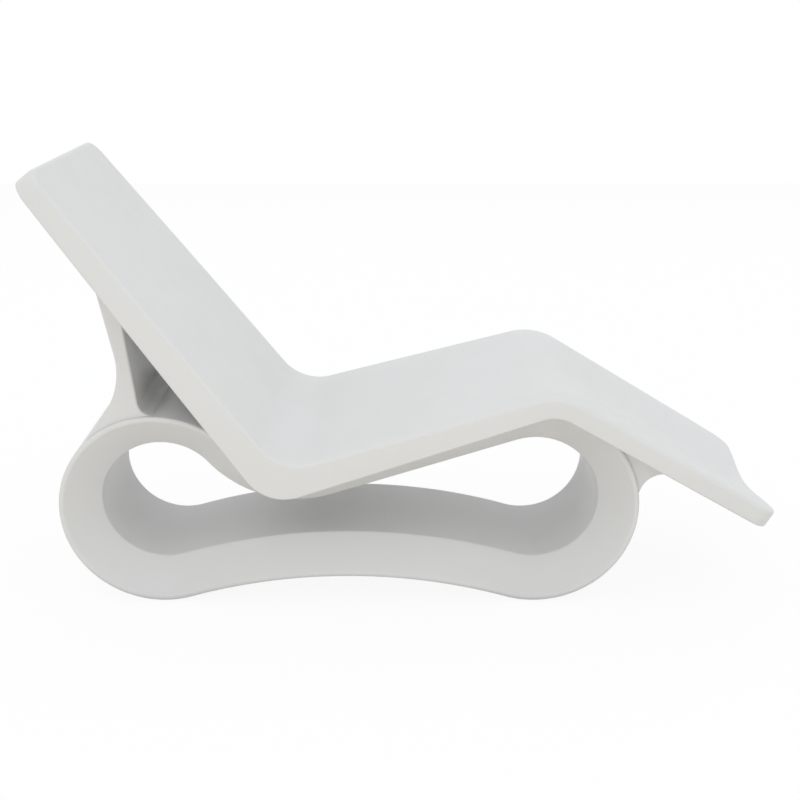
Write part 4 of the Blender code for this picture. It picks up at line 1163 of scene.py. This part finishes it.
DAYLIGHT = (0.98, 0.992, 1.02)
DAYLIGHT_STRENGTH = 0.98

# Name, place, target, diameter, power in watts and colour of each lamp
LAMPS = (
    ("top_lamp", (-0.4, -0.6, 5.0), (0.0, 0.0, 0.3), 4.0, 8.5, (0.85, 0.93, 1.0)),
    ("front_lamp", (-0.1, -2.2, 0.02), (-0.1, -1.0, 0.8), 1.8, 8.0, (1.0, 0.94, 0.85)),
)


def white_to_camera(tree, seen, unseen):
    """Mix two shaders: the first where the camera, gloss or clear parts look, the second elsewhere."""
    path = tree.nodes.new("ShaderNodeLightPath")
    either = None
    for output in ("Is Camera Ray", "Is Glossy Ray", "Is Transmission Ray"):
        if either is None:
            either = path.outputs[output]
            continue
        larger = tree.nodes.new("ShaderNodeMath")
        larger.operation = "MAXIMUM"
        tree.links.new(either, larger.inputs[0])
        tree.links.new(path.outputs[output], larger.inputs[1])
        either = larger.outputs["Value"]
    mix = tree.nodes.new("ShaderNodeMixShader")
    tree.links.new(either, mix.inputs["Fac"])
    tree.links.new(unseen.outputs[0], mix.inputs[1])
    tree.links.new(seen.outputs[0], mix.inputs[2])
    return mix.outputs["Shader"]


def stage_material(name, tone, shadow_share):
    """Pale stage: white to the camera, with a share of the object's soft shadow kept."""
    material = bpy.data.materials.new(name)
    material.use_nodes = True
    tree = material.node_tree
    tree.nodes.remove(tree.nodes["Principled BSDF"])
    output = tree.nodes["Material Output"]
    dull = tree.nodes.new("ShaderNodeBsdfDiffuse")
    dull.inputs["Color"].default_value = (*tone, 1.0)
    lit = tree.nodes.new("ShaderNodeBsdfDiffuse")
    lit.inputs["Color"].default_value = (*SHADOW_FLOOR, 1.0)
    glow = tree.nodes.new("ShaderNodeEmission")
    glow.inputs["Color"].default_value = (*WHITE, 1.0)
    glow.inputs["Strength"].default_value = 1.0
    blend = tree.nodes.new("ShaderNodeMixShader")
    blend.inputs["Fac"].default_value = shadow_share
    tree.links.new(glow.outputs[0], blend.inputs[1])
    tree.links.new(lit.outputs[0], blend.inputs[2])
    tree.links.new(white_to_camera(tree, blend, dull), output.inputs["Surface"])
    return material


class LOUNGER_OT_stage(bpy.types.Operator):
    """Make the floor, backdrop, light and camera"""
    bl_idname = "lounger.stage"
    bl_label = "Stage"

    def execute(self, context):
        scene = context.scene
        bend = arc(np.array([STAGE_BACK, STAGE_BEND]), STAGE_BEND, -math.pi * HALF, 0, ARC_PARTS)
        finishes = scene.lounger_finishes
        for name, profile, tone, shadow_share in (
                ("floor", [(-STAGE_REACH, 0), (STAGE_SPLIT, 0)], finishes.floor, SHADOW_SHARE),
                ("rear_floor", [(STAGE_SPLIT, 0), (STAGE_BACK, 0)], finishes.rear_floor, SHADOW_SHARE),
                ("backdrop", [*bend, (STAGE_BACK + STAGE_BEND, STAGE_HEIGHT)], finishes.wall, 0.0)):
            points = [(side * STAGE_REACH, y, z) for y, z in profile for side in (-1, 1)]
            mesh = bpy.data.meshes.new(name)
            mesh.from_pydata(points, [], quads(len(profile), 2).tolist())
            mesh.shade_smooth()
            sheet = bpy.data.objects.new(name, mesh)
            scene.collection.objects.link(sheet)
            mesh.materials.append(stage_material(name + "_white", tone, shadow_share))

        world = bpy.data.worlds.new("soft_daylight")
        world.use_nodes = True
        tree = world.node_tree
        soft = tree.nodes["Background"]
        soft.inputs["Color"].default_value = (*DAYLIGHT, 1.0)
        soft.inputs["Strength"].default_value = DAYLIGHT_STRENGTH
        white = tree.nodes.new("ShaderNodeBackground")
        white.inputs["Color"].default_value = (*WHITE, 1.0)
        tree.links.new(white_to_camera(tree, white, soft), tree.nodes["World Output"].inputs["Surface"])
        scene.world = world

        for name, place, target, size, power, tone in LAMPS:
            light = bpy.data.lights.new(name, "AREA")
            light.shape = "DISK"
            light.size = size
            light.energy = power
            light.color = tone
            lamp = bpy.data.objects.new(name, light)
            lamp.location = place
            lamp.visible_camera = False
            aim = Vector(target) - Vector(place)
            lamp.rotation_euler = aim.to_track_quat("-Z", "Y").to_euler()
            scene.collection.objects.link(lamp)

        lens = bpy.data.cameras.new("photo_camera")
        lens.lens = CAMERA_LENS
        camera = bpy.data.objects.new("photo_camera", lens)
        camera.location = CAMERA_PLACE
        camera.rotation_euler = (CAMERA_TILT, 0.0, 0.0)
        scene.collection.objects.link(camera)
        scene.camera = camera
        scene.view_settings.view_transform = "Standard"
        return {"FINISHED"}


GROUPS = {"lounger_seat": SeatSizes, "lounger_loop": LoopSizes, "lounger_strut": StrutSizes,
          "lounger_gusset": GussetSizes, "lounger_fasteners": FastenerSizes, "lounger_pads": PadSizes,
          "lounger_finishes": Finishes}
OPERATORS = (LOUNGER_OT_seat_shell, LOUNGER_OT_base_loop, LOUNGER_OT_back_strut, LOUNGER_OT_foot_gusset,
             LOUNGER_OT_bolts, LOUNGER_OT_floor_pads, LOUNGER_OT_plugs, LOUNGER_OT_hidden_fittings,
             LOUNGER_OT_stage)


class LOUNGER_PT_pieces(bpy.types.Panel):
    """Lists the lounger's pieces and sizes"""
    bl_idname = "LOUNGER_PT_pieces"
    bl_label = "Sun Lounger"
    bl_space_type = "VIEW_3D"
    bl_region_type = "UI"
    bl_category = "Sun Lounger"

    def draw(self, context):
        for operator in OPERATORS:
            self.layout.operator(operator.bl_idname)
        for name, group in GROUPS.items():
            box = self.layout.box()
            box.label(text=group.__name__)
            for key in group.__annotations__:
                box.prop(getattr(context.scene, name), key)


def register():
    """Register the sizes, the operators and the panel."""
    for name, group in GROUPS.items():
        bpy.utils.register_class(group)
        setattr(bpy.types.Scene, name, PointerProperty(type=group))
    for each in (*OPERATORS, LOUNGER_PT_pieces):
        bpy.utils.register_class(each)


def unregister():
    """Remove what register added."""
    for each in (LOUNGER_PT_pieces, *reversed(OPERATORS)):
        bpy.utils.unregister_class(each)
    for name, group in reversed(GROUPS.items()):
        delattr(bpy.types.Scene, name)
        bpy.utils.unregister_class(group)


def main():
    """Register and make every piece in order."""
    register()
    bpy.ops.lounger.seat_shell()
    bpy.ops.lounger.base_loop()
    bpy.ops.lounger.back_strut()
    bpy.ops.lounger.foot_gusset()
    bpy.ops.lounger.bolts()
    bpy.ops.lounger.floor_pads()
    bpy.ops.lounger.plugs()
    bpy.ops.lounger.hidden_fittings()
    bpy.ops.lounger.stage()


if __name__ == "__main__":
    main()
